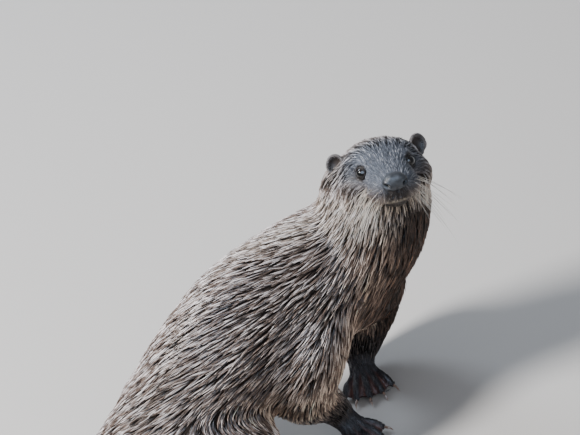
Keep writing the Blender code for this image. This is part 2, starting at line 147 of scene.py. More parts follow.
# Lines down which the hair lies, each point with the half thickness of the flesh round it.
HEAD_LINE = [(5.2, 0, -1.0, 1.6), (2.5, 0, -1.3, 2.6), (-1.0, 0, -1.4, 3.6), (-6.4, 0, -2.0, 4.4)]
BODY_LINE = [
    (8.3, -1.2, 27.4, 5.4),
    (6.6, -1.0, 24.4, 6.0),
    (4.4, -0.2, 21.4, 6.2),
    (1.6, 0.5, 18.9, 6.6),
    (-3.4, 0.1, 18.3, 7.2),
    (-9.8, -1.1, 17.0, 7.4),
    (-16.8, -2.4, 14.6, 7.0),
    (-22.2, -3.0, 12.2, 6.2),
    (-26.6, -2.9, 10.2, 5.0),
    (-31.4, -2.5, 7.2, 3.6),
    (-35.6, -1.5, 4.4, 3.0),
    (-40.6, 0.5, 2.6, 2.5),
    (-46.6, 2.6, 1.98, 2.1),
    (-52.6, 3.6, 1.66, 1.7),
    (-58.6, 3.4, 1.34, 1.35),
    (-64.2, 2.1, 1.0, 1.0),
    (-69.0, 0.4, 0.7, 0.6),
]
LEG_LINES = {
    "foreleg_right": [
        (-4.6, -4.0, 16.4, 5.0), (-7.6, -5.0, 12.0, 4.8), (-7.6, -4.6, 8.6, 3.9), (-4.4, -2.8, 3.0, 2.0)
    ],
    "foreleg_left": [
        (3.4, 3.2, 16.4, 4.6), (4.6, 4.6, 11.6, 4.2), (4.2, 5.4, 7.4, 3.3), (1.8, 5.2, 3.0, 2.1)
    ],
    "hindleg_right": [
        (-20.8, -6.0, 11.4, 5.2), (-16.6, -7.9, 8.2, 4.4), (-18.5, -8.5, 4.9, 2.7), (-21.6, -8.6, 3.0, 1.9)
    ],
    "hindleg_left": [
        (-21.2, 0.6, 11.4, 5.2), (-17.6, 2.6, 8.2, 4.4), (-19.8, 3.6, 4.9, 2.7), (-23.0, 3.7, 3.0, 1.9)
    ],
}
# A paw's wrist or heel, its heading in degrees from +X, and its length to the claws.
PAW_LINES = {
    "forepaw_right": ((-4.4, -2.8, 2.6), -72.0, 6.4),
    "forepaw_left": ((1.5, 5.1, 2.6), -104.0, 6.6),
    "hindfoot_right": ((-21.8, -8.6, 2.2), -10.0, 10.2),
    "hindfoot_left": ((-23.2, 3.7, 2.2), 8.0, 10.2),
}
WRIST_REACH = 1.8
PAW_STATIONS = ((0.45, 1.6, 2.0), (1.0, 0.7, 1.6))  # past it: share of the length, height, half thickness
BODY_SIDE = Vector((0.12, 1, 0))
GUIDE_STEP = 0.8


def paw_heading(paw):
    turn = math.radians(PAW_LINES[paw][1])
    return np.array([math.cos(turn), math.sin(turn), 0.0])


def guide_lines():
    """Each line's name, the left or side reference of its first station, and its stations."""
    head = [(*(HEAD @ (Vector(row[:3]) * CM) / CM), row[3]) for row in HEAD_LINE]
    body, *legs = (
        [(*(at_body(*row[:3]) / CM), row[3]) for row in rows] for rows in (BODY_LINE, *LEG_LINES.values())
    )
    lines = [("head", turn_of(HEAD, (0, 1, 0)), head), ("body", BODY_SIDE, [head[-1], *body])]
    lines += [(name, Vector((0, 1, 0)), stations) for name, stations in zip(LEG_LINES, legs)]
    for name, (wrist, _, length) in PAW_LINES.items():
        ahead = Vector(paw_heading(name))
        start = at_body(*wrist) / CM
        end = start + ahead * length
        stations = [(*start, WRIST_REACH)]
        stations += [(*start.lerp(end, share).xy, height, reach) for share, height, reach in PAW_STATIONS]
        lines.append((name, Vector((0, 0, 1)).cross(ahead), stations))
    return lines


def guide_rows():
    """Every guide, in steps: name, point, direction, side reference, reach, and cm from the line's start."""
    rows = []
    for name, side, stations in guide_lines():
        done = 0.0
        for a, b in zip(stations, stations[1:]):
            start, end = Vector(a[:3]), Vector(b[:3])
            length = (end - start).length
            ahead = (end - start).normalized()
            side = (side - ahead * side.dot(ahead)).normalized()
            count = max(2, round(length / GUIDE_STEP))
            for k in range(count):
                t = (k + 0.5) / count
                reach = (a[3] + (b[3] - a[3]) * t) * CM
                rows.append((name, start.lerp(end, t) * CM, ahead, side, reach, done + length * t))
            done += length
    return rows


GUIDES = [np.array(column) for column in zip(*guide_rows())]
GUIDE_NAMES, GUIDE_POINTS, GUIDE_DIRECTIONS, GUIDE_SIDES, GUIDE_REACH, GUIDE_ALONG = GUIDES
BATCH = 20000  # points worked on at a time


def guide_gaps(points):
    """Batch by batch, its slice and each point's distance from each guide, in the guide's own reaches."""
    for start in range(0, len(points), BATCH):
        part = slice(start, start + BATCH)
        yield part, length_of(points[part, None] - GUIDE_POINTS[None])[:, :, 0] / GUIDE_REACH[None]


def nearest_guides(points):
    """For each point the index of the guide whose flesh it belongs to."""
    return np.concatenate([gap.argmin(axis=1) for _, gap in guide_gaps(points)])


def owners(points):
    return GUIDE_NAMES[nearest_guides(points)]


def unwrap(points, nearest):
    """Places on the animal's own shape: cm along the nearest guide and radians round it."""
    offset = points - GUIDE_POINTS[nearest]
    ahead, side = GUIDE_DIRECTIONS[nearest], GUIDE_SIDES[nearest]
    over = np.cross(side, ahead)
    along = GUIDE_ALONG[nearest] + (offset * ahead).sum(axis=1) / CM
    return along, np.arctan2((offset * side).sum(axis=1), (offset * over).sum(axis=1))


# Each guide's rectangle on the map: left, bottom, width and height.
CHARTS = {"body": (0.02, 0.34, 0.96, 0.62), "head": (0.02, 0.02, 0.30, 0.29)}
for bottom, height, names in ((0.02, 0.14, LEGS), (0.18, 0.13, PAWS)):
    for left, width, name in zip((0.34, 0.51, 0.68, 0.85), (0.15, 0.15, 0.15, 0.13), names):
        CHARTS[name] = (left, bottom, width, height)


def on_map(points):
    """Where points fall on the map of the skin's own shape."""
    nearest = nearest_guides(points)
    along, turn = unwrap(points, nearest)
    place = np.empty((len(points), 2))
    for name, (left, bottom, width, height) in CHARTS.items():
        mine = GUIDE_NAMES[nearest] == name
        lengths = GUIDE_ALONG[GUIDE_NAMES == name]
        share = (along[mine] - lengths.min() + 1) / (np.ptp(lengths) + 2)
        place[mine, 0] = left + width * np.clip(share, 0, 1)
        place[mine, 1] = bottom + height * (turn[mine] / (2 * np.pi) + 0.5)
    return place


# The line of the mouth: its height at the front, how it bends down to the sides and slopes to the back.
MOUTH_UP, MOUTH_BEND, MOUTH_SLOPE = -2.95, 0.055, 0.10
MOUTH_FRONT, MOUTH_CORNER = 4.2, 0.9


class Places:
    """Where points are, in cm, and how their skin faces: what shape, coat and markings go by."""

    def __init__(self, points, normals=None):
        head = local_to(HEAD, points)
        self.ahead, self.beside, self.over = head.T  # in the head's own axes
        self.aside = np.abs(self.beside)
        self.x = (points[:, 0] - ORIGIN.x) / CM
        self.height = points[:, 2] / CM
        mouth = MOUTH_UP - MOUTH_BEND * self.beside**2 + MOUTH_SLOPE * (MOUTH_FRONT - self.ahead)
        self.lip = self.over - mouth  # how far above the line of the mouth
        if normals is not None:
            self.forward, _, self.upward = normals.T

    def zone(self, **limits):
        """How far each named measure has come from its first limit to its second, multiplied: 0 to 1."""
        share = 1.0
        for name, (start, end) in limits.items():
            share = share * smoothstep(start, end, getattr(self, name))
        return share


GUIDE_PULL = 7  # the power by which nearer guides count for more
FRONT = (-12.0, 1.0)  # from the loins to the shoulders
REAR = {"x": (4.0, -10.0), "height": (5.0, 9.0)}  # from the shoulders back, above the legs
TAIL_ROOT = (-36.0, -27.0)
DROOP = (0.10, 0.42)  # how far wet hair turns down on the steep rear and front of the body
LEAN = (0.0, 0.30, 0.14)  # how the bend of the body draws the hair of the rear half over


def flow(points, normals):
    """The lie of the hair at points on the skin."""
    made = np.empty_like(points)
    for part, gap in guide_gaps(points):
        weight = gap**-GUIDE_PULL
        made[part] = (weight @ GUIDE_DIRECTIONS) / weight.sum(axis=1, keepdims=True)
    made = unit(made)
    at = Places(points)
    droop = DROOP[0] + (DROOP[1] - DROOP[0]) * at.zone(x=FRONT)[:, None]
    made = made - UP * (1 - np.abs(normals[:, 2:])) * droop
    rear = at.zone(**REAR) * at.zone(x=TAIL_ROOT)
    return unit(along_skin(made + np.array(LEAN) * rear[:, None], normals))


# ---------------- meshes


def add_object(name, data):
    obj = bpy.data.objects.new(name, data)
    bpy.context.scene.collection.objects.link(obj)
    return obj


def keep(name, mesh, material, slot, *replaced):
    """Hands a finished piece to the frame."""
    mesh.materials.append(material)
    obj = add_object(name, mesh)
    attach(obj, "root")
    if replaced:
        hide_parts(*replaced)


def array_mesh(name, points, quads, triangles):
    """A mesh from arrays of points, four-cornered faces and three-cornered ones."""
    mesh = bpy.data.meshes.new(name)
    quads, triangles = np.asarray(quads), np.asarray(triangles)
    corners = np.concatenate([quads.ravel(), triangles.ravel()])
    sizes = np.concatenate([np.full(len(quads), 4), np.full(len(triangles), 3)])
    mesh.vertices.add(len(points))
    mesh.vertices.foreach_set("co", points.astype(np.float32).ravel())
    mesh.loops.add(len(corners))
    mesh.loops.foreach_set("vertex_index", corners.astype(np.int32))
    mesh.polygons.add(len(sizes))
    mesh.polygons.foreach_set("loop_start", (np.cumsum(sizes) - sizes).astype(np.int32))
    mesh.update(calc_edges=True)
    mesh.validate()
    mesh.shade_smooth()
    return mesh


def copies(faces, starts):
    """The faces once for every start, a number added to those of their points."""
    return (faces[None] + starts[:, None, None]).reshape(-1, faces.shape[1])


def bands(rings, columns):
    """Four-cornered faces between rings of points, closed round: ring by ring, columns of points in each."""
    k = np.arange(columns)
    faces = np.stack([k, (k + 1) % columns, (k + 1) % columns + columns, k + columns], axis=1)
    return copies(faces, np.arange(rings - 1) * columns)


def caps(rings, columns):
    """Three-cornered faces from the first and the last ring to the two points that follow the rings."""
    k, last, end = np.arange(columns), (rings - 1) * columns, rings * columns
    after = (k + 1) % columns
    first_fan = np.stack([np.full(columns, end), after, k], axis=1)
    last_fan = np.stack([np.full(columns, end + 1), last + k, last + after], axis=1)
    return np.concatenate([first_fan, last_fan])


def read(items, field, kind, width=3):
    """Numbers of a mesh's parts as rows of an array."""
    values = np.empty(len(items) * width, dtype=kind)
    items.foreach_get(field, values)
    return values.reshape(-1, width)


def points_of(mesh):
    return read(mesh.vertices, "co", np.float32).astype(float)


def normals_of(mesh):
    return read(mesh.vertex_normals, "vector", np.float32).astype(float)


def edges_of(mesh):
    return read(mesh.edges, "vertices", np.int32, 2)


def set_points(mesh, points):
    mesh.vertices.foreach_set("co", points.astype(np.float32).ravel())
    mesh.update()


def add_values(mesh, name, values, kind="FLOAT", field="value"):
    layer = mesh.attributes.new(name, kind, "POINT")
    layer.data.foreach_set(field, np.asarray(values, dtype=np.float32).ravel())


def add_colours(mesh, name, colours):
    add_values(mesh, name, np.pad(colours, ((0, 0), (0, 1)), constant_values=1), "FLOAT_COLOR", "color")


def add_map(mesh, places):
    """Gives every corner of a face its point's place on the map of the skin's shape."""
    corners = read(mesh.loops, "vertex_index", np.int32, 1)[:, 0]
    mesh.uv_layers.new(name="OFBake").data.foreach_set("uv", places[corners].astype(np.float32).ravel())


PATCH = 0.003  # of the map across, for each lock and whisker


def add_patches(mesh, roots, across, along):
    """Gives every lock a small patch of the map at its root's place; the rest are shares of a lock."""
    patch = np.stack([across, along - 0.5], axis=1) * PATCH
    add_map(mesh, (on_map(roots)[:, None] + patch[None]).reshape(-1, 2))


def relax(points, edges, rounds, share=0.5):
    """Moves points towards the mean of their neighbours; share is one number or one per point."""
    count = np.maximum(np.bincount(edges.ravel(), minlength=len(points)), 1)[:, None]
    share = np.broadcast_to(np.reshape(share, (-1, 1)), (len(points), 1))
    here, there = edges.T
    for _ in range(rounds):
        total = np.zeros_like(points)
        for k in range(points.shape[1]):
            total[:, k] = np.bincount(here, points[there, k], len(points))
            total[:, k] += np.bincount(there, points[here, k], len(points))
        points = points + (total / count - points) * share
    return points


# ---------------- materials


class Finish:
    """A material and what its nodes need again and again."""

    def __init__(self, name, **settings):
        self.material = bpy.data.materials.new(name)
        self.material.use_nodes = True
        self.nodes, self.links = self.material.node_tree.nodes, self.material.node_tree.links
        self.shader = self.nodes["Principled BSDF"]
        self.set(self.shader, settings)

    def set(self, node, settings):
        """Sets a node's sockets, with _ for a space in a name and _0 for a number, and links outputs."""
        for name, value in settings.items():
            socket = node.inputs[int(name[1:]) if name[1:].isdigit() else name.replace("_", " ")]
            if isinstance(value, bpy.types.NodeSocket):
                self.links.new(value, socket)
            else:
                socket.default_value = value

    def add(self, kind, output, **settings):
        """A new node's output, of the one name that is wanted."""
        node = self.nodes.new("ShaderNode" + kind)
        self.set(node, settings)
        return node.outputs[output]

    def attribute(self, name, output="Fac"):
        made = self.add("Attribute", output)
        made.node.attribute_name = name
        return made

    def scaled(self, colour, *factors):
        """A colour times one or more values."""
        for factor in factors:
            colour = self.vector_math("SCALE", Scale=factor, _0=colour)
        return colour

    def vector_math(self, operation, **settings):
        made = self.add("VectorMath", "Vector")
        made.node.operation = operation
        self.set(made.node, settings)
        return made

    def spread(self, value, start, end, low=0.0, high=1.0):
        """A value from start to end brought to one from low to high."""
        source, target = {"From_Min": start, "From_Max": end}, {"To_Min": low, "To_Max": high}
        return self.add("MapRange", "Result", Value=value, **source, **target)

    def ramp(self, value, *stops):
        made = self.add("ValToRGB", "Color", Fac=value)
        points = made.node.color_ramp.elements
        for place, _ in stops[1:-1]:
            points.new(place)
        for point, (place, colour) in zip(points, stops):
            point.position = place
            point.color = (*colour, 1)
        return made

    def noise(self, scale, detail=3.0):
        place = self.add("TexCoord", "Object")
        return self.add("TexNoise", "Fac", Vector=place, Scale=scale, Detail=detail)

    def bump(self, height, strength, distance):
        normal = self.add("Bump", "Normal", Height=height, Strength=strength, Distance=distance)
        self.set(self.shader, {"Normal": normal})

    def coloured(self, colour):
        self.set(self.shader, {"Base Color": colour})
        return self.material


def coat_material():
    """Wet hair in each lock's colour, times its painted light: painted shade at the foot of each hair,
    lighter to its tip.
    """
    finish = Finish("coat", Roughness=0.30, Specular_IOR_Level=0.6)
    return finish.coloured(finish.scaled(finish.attribute("mark", "Color"), finish.attribute("painted_light")))


def skin_material():
    """The skin under the coat, darkened between the locks by painted shade, with the lie of short fur as fine
    streaks.
    """
    finish = Finish("skin", Roughness=0.42)
    shade = finish.attribute("shade")
    grain = finish.attribute("grain", "Vector")
    stretched = finish.vector_math("MULTIPLY", _0=grain, _1=(2.6, 17.0, 1.0))  # finer across than along
    streaks = finish.add("TexNoise", "Fac", Vector=stretched, Scale=1.0, Detail=3.0, Distortion=0.4)
    finish.set(finish.shader, {"Specular IOR Level": finish.spread(shade, 0.0, 1.0, high=0.5)})
    finish.bump(streaks, strength=0.7, distance=0.9 * MM)
    lift = finish.spread(streaks, 0.3, 0.7, 0.55, 1.30)
    return finish.coloured(finish.scaled(finish.attribute("mark", "Color"), shade, lift))


def eye_material():
    """Black pupil, dark brown streaked iris and brown-black white of the eye under a clear wet film."""
    wet = {"Coat_Weight": 1.0, "Coat_IOR": 1.38, "Coat_Roughness": 0.02}
    finish = Finish("eye", Roughness=0.15, Specular_IOR_Level=0.2, **wet)
    colours = finish.ramp(
        finish.spread(finish.attribute("off_axis"), 0.0, 90.0),
        (0.0, (0.002, 0.002, 0.002)),
        (0.31, (0.002, 0.002, 0.002)),
        (0.36, (0.010, 0.006, 0.004)),
        (0.47, (0.007, 0.004, 0.003)),
        (0.53, (0.004, 0.003, 0.003)),
        (0.60, (0.016, 0.010, 0.009)),
    )
    streaks = finish.add("TexNoise", "Fac", Scale=9.0)
    streaks.node.noise_dimensions = "1D"
    finish.set(streaks.node, {"W": finish.attribute("round")})
    return finish.coloured(finish.scaled(colours, finish.spread(streaks, 0.0, 1.0, 0.5, 1.7)))


def nose_material():
    """Dark blue-grey leather in fine grains, with painted shade in the nostrils: black where they sink in."""
    finish = Finish("nose", Roughness=0.36)
    leather = finish.ramp(finish.noise(260.0), (0.3, (0.022, 0.026, 0.034)), (0.7, (0.060, 0.068, 0.082)))
    grains = finish.add("TexVoronoi", "Distance", Vector=finish.add("TexCoord", "Object"), Scale=1100.0)
    finish.bump(grains, strength=0.5, distance=0.4 * MM)
    mix = finish.nodes.new("ShaderNodeMix")
    mix.data_type = "RGBA"
    # painted shade: the nostrils black where the pad sinks in
    nostril_shade = finish.spread(finish.attribute("depth"), -0.16, -0.01)
    finish.set(mix, {"A": (0.002, 0.002, 0.002, 1), "B": leather, "Factor": nostril_shade})
    return finish.coloured(mix.outputs["Result"])


def ear_material():
    """Short pale fur on the back and the rim, dark bare skin in the cup."""
    finish = Finish("ear", Roughness=0.5)
    finish.bump(finish.noise(900.0, detail=4.0), strength=0.6, distance=0.6 * MM)
    stops = (
        (0.0, (0.060, 0.050, 0.046)),
        (0.38, (0.150, 0.140, 0.142)),
        (0.54, (0.300, 0.290, 0.300)),
        (0.62, (0.130, 0.105, 0.098)),
        (0.74, (0.030, 0.021, 0.018)),
    )
    return finish.coloured(finish.ramp(finish.attribute("inward"), *stops))


def claw_material():
    """Pale horn, pinker and darker in clouds."""
    finish = Finish("claw", Roughness=0.32)
    stops = ((0.35, (0.30, 0.17, 0.13)), (0.65, (0.52, 0.38, 0.31)))
    return finish.coloured(finish.ramp(finish.noise(400.0), *stops))


def whisker_material():
    """Horn, dark at the root and pale from a quarter of the way out."""
    finish = Finish("whiskers", Roughness=0.3)
    stops = ((0.0, (0.30, 0.25, 0.20)), (0.25, (0.72, 0.68, 0.62)), (1.0, (0.85, 0.83, 0.80)))
    return finish.coloured(finish.ramp(finish.attribute("along"), *stops))


# ---------------- skin

SKIN_VOXEL = 3.3 * MM
WELD_GROWTH = 0.4 * MM  # closes the thin cuts between the nodes
DEPTHS = {"body": 3.6, "tail": 2.6, "crown": 2.2, "face": 1.0, "shank": 1.0, "paw": 0.7}  # of the coat, in mm
DEPTH_ROUNDS = 20  # of relaxing, from one depth to the next
TAIL_START = -30.0

HEEL_STEP = (-1.0, 0, -0.4)  # from the start of a paw's line to the middle of its heel
HEEL_CREASE = (3.4, 2.2)  # from there, where the creases are relaxed
HEEL_HEIGHT = 3.4  # from which a hind foot's heel rounds off towards the floor
HEEL_AHEAD = 1.0  # of the start of the paw's line, where the rounding ends
HEEL_TUCK = 0.66  # of the heel's length behind that, drawn in at the floor
HEEL_NARROWING = 0.5  # of that, for its width
HEEL_REACH = (4.6, 3.6)  # from the heel's middle, over which all this fades in
HEEL_BEHIND = (1.5, 0.0)  # ahead of the heel's middle, over which the heel begins
ANKLE_WAIST = 0.24  # of the ankle's thickness, taken off
ANKLE_TOP, ANKLE_FOOT = (7.0, 4.0), (1.4, 2.6)  # heights over which that fades out
FLESH_ROUNDS, CREASE_ROUNDS, HEEL_ROUNDS = 6, 11, 30  # of relaxing: all of it, then parts of it
CREASE_HEIGHT = 2.8  # above the paws


def joined_flesh():
    """The flesh nodes, a hair thicker so that they overlap, in one mesh."""
    bm = bmesh.new()
    for node in (*BODY, *LEGS, *PAWS, "nose", "eye_left", "eye_right"):
        bm.from_mesh(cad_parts[node].data)
    bm.normal_update()
    for vertex in bm.verts:
        vertex.co += vertex.normal * WELD_GROWTH
    mesh = bpy.data.meshes.new("flesh")
    bm.to_mesh(mesh)
    bm.free()
    obj = add_object("flesh", mesh)
    fuse = obj.modifiers.new("fuse", "REMESH")
    fuse.mode, fuse.voxel_size = "VOXEL", SKIN_VOXEL
    bpy.context.view_layer.update()
    fused = bpy.data.meshes.new_from_object(obj.evaluated_get(bpy.context.evaluated_depsgraph_get()))
    bpy.data.objects.remove(obj)
    return fused


def coat_depth(points, edges):
    """How far the skin lies inside the solids, in metres: the coat's thickness there."""
    at, owner = Places(points), owners(points)
    depth = np.full(len(points), DEPTHS["body"])
    near_head = (at.aside < 7) & (at.over > -7) & (at.ahead > -11)
    crown = near_head * at.zone(ahead=(-10.5, -7.5), over=(-5.5, -2.5))
    face = near_head * at.zone(ahead=(-8.5, 1.0), over=(-8.5, -4.5))
    depth += (DEPTHS["crown"] - depth) * crown
    depth += (DEPTHS["face"] - depth) * face
    depth[np.isin(owner, PAWS)] = DEPTHS["paw"]
    depth += (DEPTHS["shank"] - depth) * at.zone(height=(9.0, 3.5)) * np.isin(owner, LEGS)
    depth[at.x < TAIL_START] = DEPTHS["tail"]
    return relax(depth[:, None] * MM, edges, DEPTH_ROUNDS)[:, 0]


def round_heels(points):
    """Slims the ankles of the hind legs and rounds the heels below them."""
    made = points.copy()
    height = points[:, 2:] / CM
    tuck = HEEL_TUCK * np.clip(1 - height / HEEL_HEIGHT, 0, 1) ** 2
    for paw in ("hindfoot_right", "hindfoot_left"):
        ahead = paw_heading(paw)
        heel = np.array(at_body(*PAW_LINES[paw][0])) * (1, 1, 0)
        offset = (points - heel) * (1, 1, 0)
        along = offset @ ahead[:, None]
        across = offset - along * ahead
        near = smoothstep(*HEEL_REACH, length_of(offset) / CM)
        foot = smoothstep(*HEEL_BEHIND, along / CM)
        ankle = near * smoothstep(*ANKLE_TOP, height) * np.maximum(foot, smoothstep(*ANKLE_FOOT, height))
        waist = 1 - ANKLE_WAIST * ankle
        behind = np.minimum(along - HEEL_AHEAD * CM, 0.0)
        narrow = 1 - tuck * HEEL_NARROWING * foot * near
        moved = (along * waist - behind * tuck * near) * ahead + across * narrow * waist
        made += np.where(near > 0, moved - offset, 0.0)
    return made


def relax_flesh(points, edges):
    """Takes out the voxels' steps and the creases between the solids, less on the face and the feet."""
    at = Places(points)
    fine = (at.ahead > -3.0) & (at.over > -5.5) & (at.aside < 6)
    share = np.where(fine, 0.3, 0.5) * at.zone(height=(0.3, 2.5))
    points = relax(points, edges, FLESH_ROUNDS, np.maximum(share, 0.12))
    creased = ~fine & (at.height >= CREASE_HEIGHT)
    points = round_heels(relax(points, edges, CREASE_ROUNDS, 0.5 * creased))
    heels = np.array([at_body(*PAW_LINES[paw][0]) for paw in PAWS]) + np.array(HEEL_STEP) * CM
    gap = length_of(points[:, None] - heels[None])[:, :, 0].min(axis=1) / CM
    heel = smoothstep(*HEEL_CREASE, gap) * at.zone(height=(0.15, 0.8))
    return relax(points, edges, HEEL_ROUNDS, 0.5 * heel)


# ---------------- muzzle


def in_front(points, ahead, aside, over):
    """True on the front of the head, from the limit ahead and not too far aside or low."""
    at = Places(points)
    return (at.ahead > ahead) & (at.aside < aside) & (at.over > over)


# Rolls along the mouth, as their push, height over its line and half width: the line, the lip and the chin.
LIP_ROLLS = ((-0.26, 0.0, 0.13), (0.10, 0.42, 0.26), (-0.12, -0.55, 0.45))
# Swellings on each side, as their push, place and size: the whiskers' pads and the wings of the nose.
SWELLINGS = ((0.16, (3.3, 1.55, -1.6), (1.0, 0.8, 0.8)), (0.26, (4.4, 1.42, -0.75), (0.6, 0.30, 0.40)))
GROOVE, GROOVE_WIDTH = 0.10, 0.10  # down the middle of the upper lip


def with_muzzle(mesh):
    """The mouth's line with the upper lip over it, the pads of the whiskers and the wings of the nose."""
    points = points_of(mesh)
    at = Places(points)
    push = sum(height * bell((at.lip - place) / width) for height, place, width in LIP_ROLLS)
    push *= at.zone(ahead=(MOUTH_CORNER, MOUTH_CORNER + 0.9)) * (at.over > -4.8)
    for height, place, size in SWELLINGS:
        gaps = (np.stack([at.ahead, at.aside, at.over]).T - place) / size
        push += height * bell(*gaps.T)
    groove = bell(at.beside / GROOVE_WIDTH) * at.zone(lip=(0.0, 0.35), over=(-0.9, -1.4), ahead=(3.2, 3.8))
    return points + normals_of(mesh) * ((push - GROOVE * groove) * CM)[:, None]


# ---------------- eyes

EYE_AXIS = (0.60, 0.75, 0.28)  # out of the head; the side is mirrored
EYE_SUNK, EYE_DROP = 0.25, 0.2  # how far the ball is set in and down from its node
BALL, LID = 0.73, 0.78  # radii of the ball and of the lids over it
OPENING = (0.61, 0.54)  # half the length and height of the gap between the lids
SOCKET = -0.1  # the skin behind the ball
SOCKET_REACH, LID_REACH = 1.7, 1.35
LID_EDGE, LID_BLEND = (0.93, 1.02), (1.02, 1.95)  # openings, over which the lid and the face begin
# Folds round the opening, as their push, place in openings and half width: the lid's rim and the furrow.
LID_FOLDS = ((0.03, 1.08, 0.09), (-0.05, 1.50, 0.12))


def eye_frame(side, name):
    """A frame on the eye in metres: X out of the head, Y along the face, Z up the face."""
    axis = turn_of(HEAD, (EYE_AXIS[0], EYE_AXIS[1] * side, EYE_AXIS[2])).normalized()
    up = turn_of(HEAD, (0, 0, 1))
    along = up.cross(axis).normalized()
    place = middle("eye_" + name) - (axis * EYE_SUNK + up * EYE_DROP) * CM
    return Matrix.Translation(place) @ frame_of(axis, along, axis.cross(along))


EYE_FRAMES = {name: eye_frame(side, name) for side, name in SIDES}


def from_eye(matrix, points):
    """Points in an eye's frame, and how many times the opening they lie from its middle."""
    e = local_to(matrix, points)
    return e, np.hypot(e[:, 1] / OPENING[0], e[:, 2] / OPENING[1])


def eye_distance(points):
    return np.minimum(*(length_of(local_to(matrix, points))[:, 0] for matrix in EYE_FRAMES.values()))


def with_lids(mesh):
    """Sinks the skin under each ball and draws the lids over it, with a fold round them."""
    points = points_of(mesh)
    for matrix in EYE_FRAMES.values():
        e, flat = from_eye(matrix, points)
        near = (length_of(e)[:, 0] < 2.2) & (e[:, 0] > -0.9)
        ball = np.sqrt(np.maximum(LID**2 - e[:, 1] ** 2 - e[:, 2] ** 2, 0.0))
        fold = sum(push * bell((flat - place) / width) for push, place, width in LID_FOLDS)
        height = ball + (e[:, 0] - ball) * smoothstep(*LID_BLEND, flat) + fold
        height = SOCKET + (height - SOCKET) * smoothstep(*LID_EDGE, flat)
        e[:, 0] = np.where(near, height, e[:, 0])
        points = np.where(near[:, None], out_of(matrix, e), points)
    return points


def ball_mesh(name, columns, rows, shape):
    """A ball whose unit directions shape turns into points, with something more about each of them."""
    turn = np.arange(columns) / columns * 2 * np.pi
    rise = np.arange(1, rows) / rows * np.pi
    rise, turn = np.meshgrid(rise, turn, indexing="ij")
    ring = np.stack([np.cos(rise), np.sin(rise) * np.cos(turn), np.sin(rise) * np.sin(turn)], axis=2)
    directions = np.concatenate([ring.reshape(-1, 3), [[1, 0, 0], [-1, 0, 0]]])
    quads, triangles = bands(rows - 1, columns)[:, ::-1], caps(rows - 1, columns)[:, ::-1]
    points, extra = shape(directions)
    return array_mesh(name, points, quads, triangles), extra


CORNEA = 0.05  # how far it stands out of the ball, as a share of its radius


def add_eyes():
    """Glossy dark balls with a brown iris under a slightly raised cornea."""
    material = eye_material()
    for name, matrix in EYE_FRAMES.items():

        def shape(directions):
            bulge = 1 + CORNEA * smoothstep(0.72, 0.98, directions[:, 0])
            return out_of(matrix, directions * BALL * bulge[:, None]), directions

        mesh, directions = ball_mesh("eyeball_" + name, 48, 36, shape)
        add_values(mesh, "off_axis", np.degrees(np.arccos(np.clip(directions[:, 0], -1, 1))))
        add_values(mesh, "round", np.arctan2(directions[:, 2], directions[:, 1]))
        keep("eyeball_" + name, mesh, material, "eye", "eye_" + name)


# ---------------- nose

NOSE_SIZE = (0.90, 1.38, 0.96)
NOSE_POWER = 0.80  # below 1, for a pad squarer than a ball
NOSE_DROP = 0.1
NOSE_TAPERS = ((0.16, 0.0, 0.9), (0.30, -0.45, -1.0))  # narrower by, between these shares of its height
NOSTRIL = (0.52, 1.02, -0.20)  # place on the pad, from its middle; the side is mirrored
NOSTRIL_DEPTH, NOSTRIL_SIZE = 0.45, (0.55, 0.27, 0.19)
NOSTRIL_SLOPE, NOSTRIL_BEND = 0.45, 0.6  # how its slit rises to the side, more and more
RIM_HEIGHT, RIM_SIZE, RIM_WIDTH = 0.05, (0.60, 0.42, 0.36), math.sqrt(0.06)
CLEFT, DIP = 0.10, 0.04  # down the middle: below, and over the top


def nose_shape(directions):
    """Points of the nose pad, and how far each is pushed in or out to carve it."""
    local = np.sign(directions) * np.abs(directions) ** NOSE_POWER * np.array(NOSE_SIZE)
    for share, start, end in NOSE_TAPERS:
        local[:, 1] *= 1 - share * smoothstep(start, end, local[:, 2] / NOSE_SIZE[2])
    out = unit(local / np.array(NOSE_SIZE) ** 2)
    depth = np.zeros(len(local))
    for side, _ in SIDES:
        x, y, z = (local - np.array(NOSTRIL) * (1, side, 1)).T
        y = y * side
        place = np.stack([x, y, z - NOSTRIL_SLOPE * y - NOSTRIL_BEND * y**2])
        x, y, z = place / np.array(NOSTRIL_SIZE)[:, None]
        depth -= NOSTRIL_DEPTH * bell(x, y**2, z)
        x, y, z = place / np.array(RIM_SIZE)[:, None]
        depth += RIM_HEIGHT * bell(x, (np.hypot(y, z) - 1) / RIM_WIDTH)
    x, y, z = local.T
    depth -= CLEFT * bell(y / 0.05) * smoothstep(-0.1, -0.5, z) * (x > 0)
    depth -= DIP * bell(y / 0.30) * smoothstep(0.4, 0.8, z)
    local = local + out * depth[:, None] + (NOSE_AHEAD, 0, -NOSE_BELOW - NOSE_DROP)
    return out_of(HEAD, local), depth


def add_nose():
    """The leathery pad with a nostril cut into each lower side and a cleft below."""
    mesh, depth = ball_mesh("nose_pad", 120, 84, nose_shape)
    add_values(mesh, "depth", depth)
    keep("nose_pad", mesh, nose_material(), "nose", "nose")


# ---------------- paws

KNUCKLE = 0.40  # of the way from the wrist to the claw
PAW_TOP = 3.4 * CM
WEB_DEPTH = 0.34
WEB_NEAR, WEB_NEXT = (0.22, 0.52), (1.9, 1.1)  # gaps from the nearest toe and from the next
WEB_START, WEB_END = (-0.1, 0.25), (1.1, 0.9)  # along the toes
TOE_START, TOE_END = (-0.4, 0.0), (1.05, 0.95)
TOE_HEIGHT, TOE_WIDTH, KNUCKLE_HEIGHT = 0.05, 0.30, 0.07
KNUCKLES = ((0.50, 0.13), (0.02, 0.16))  # their places along a toe and half lengths, as shares of it


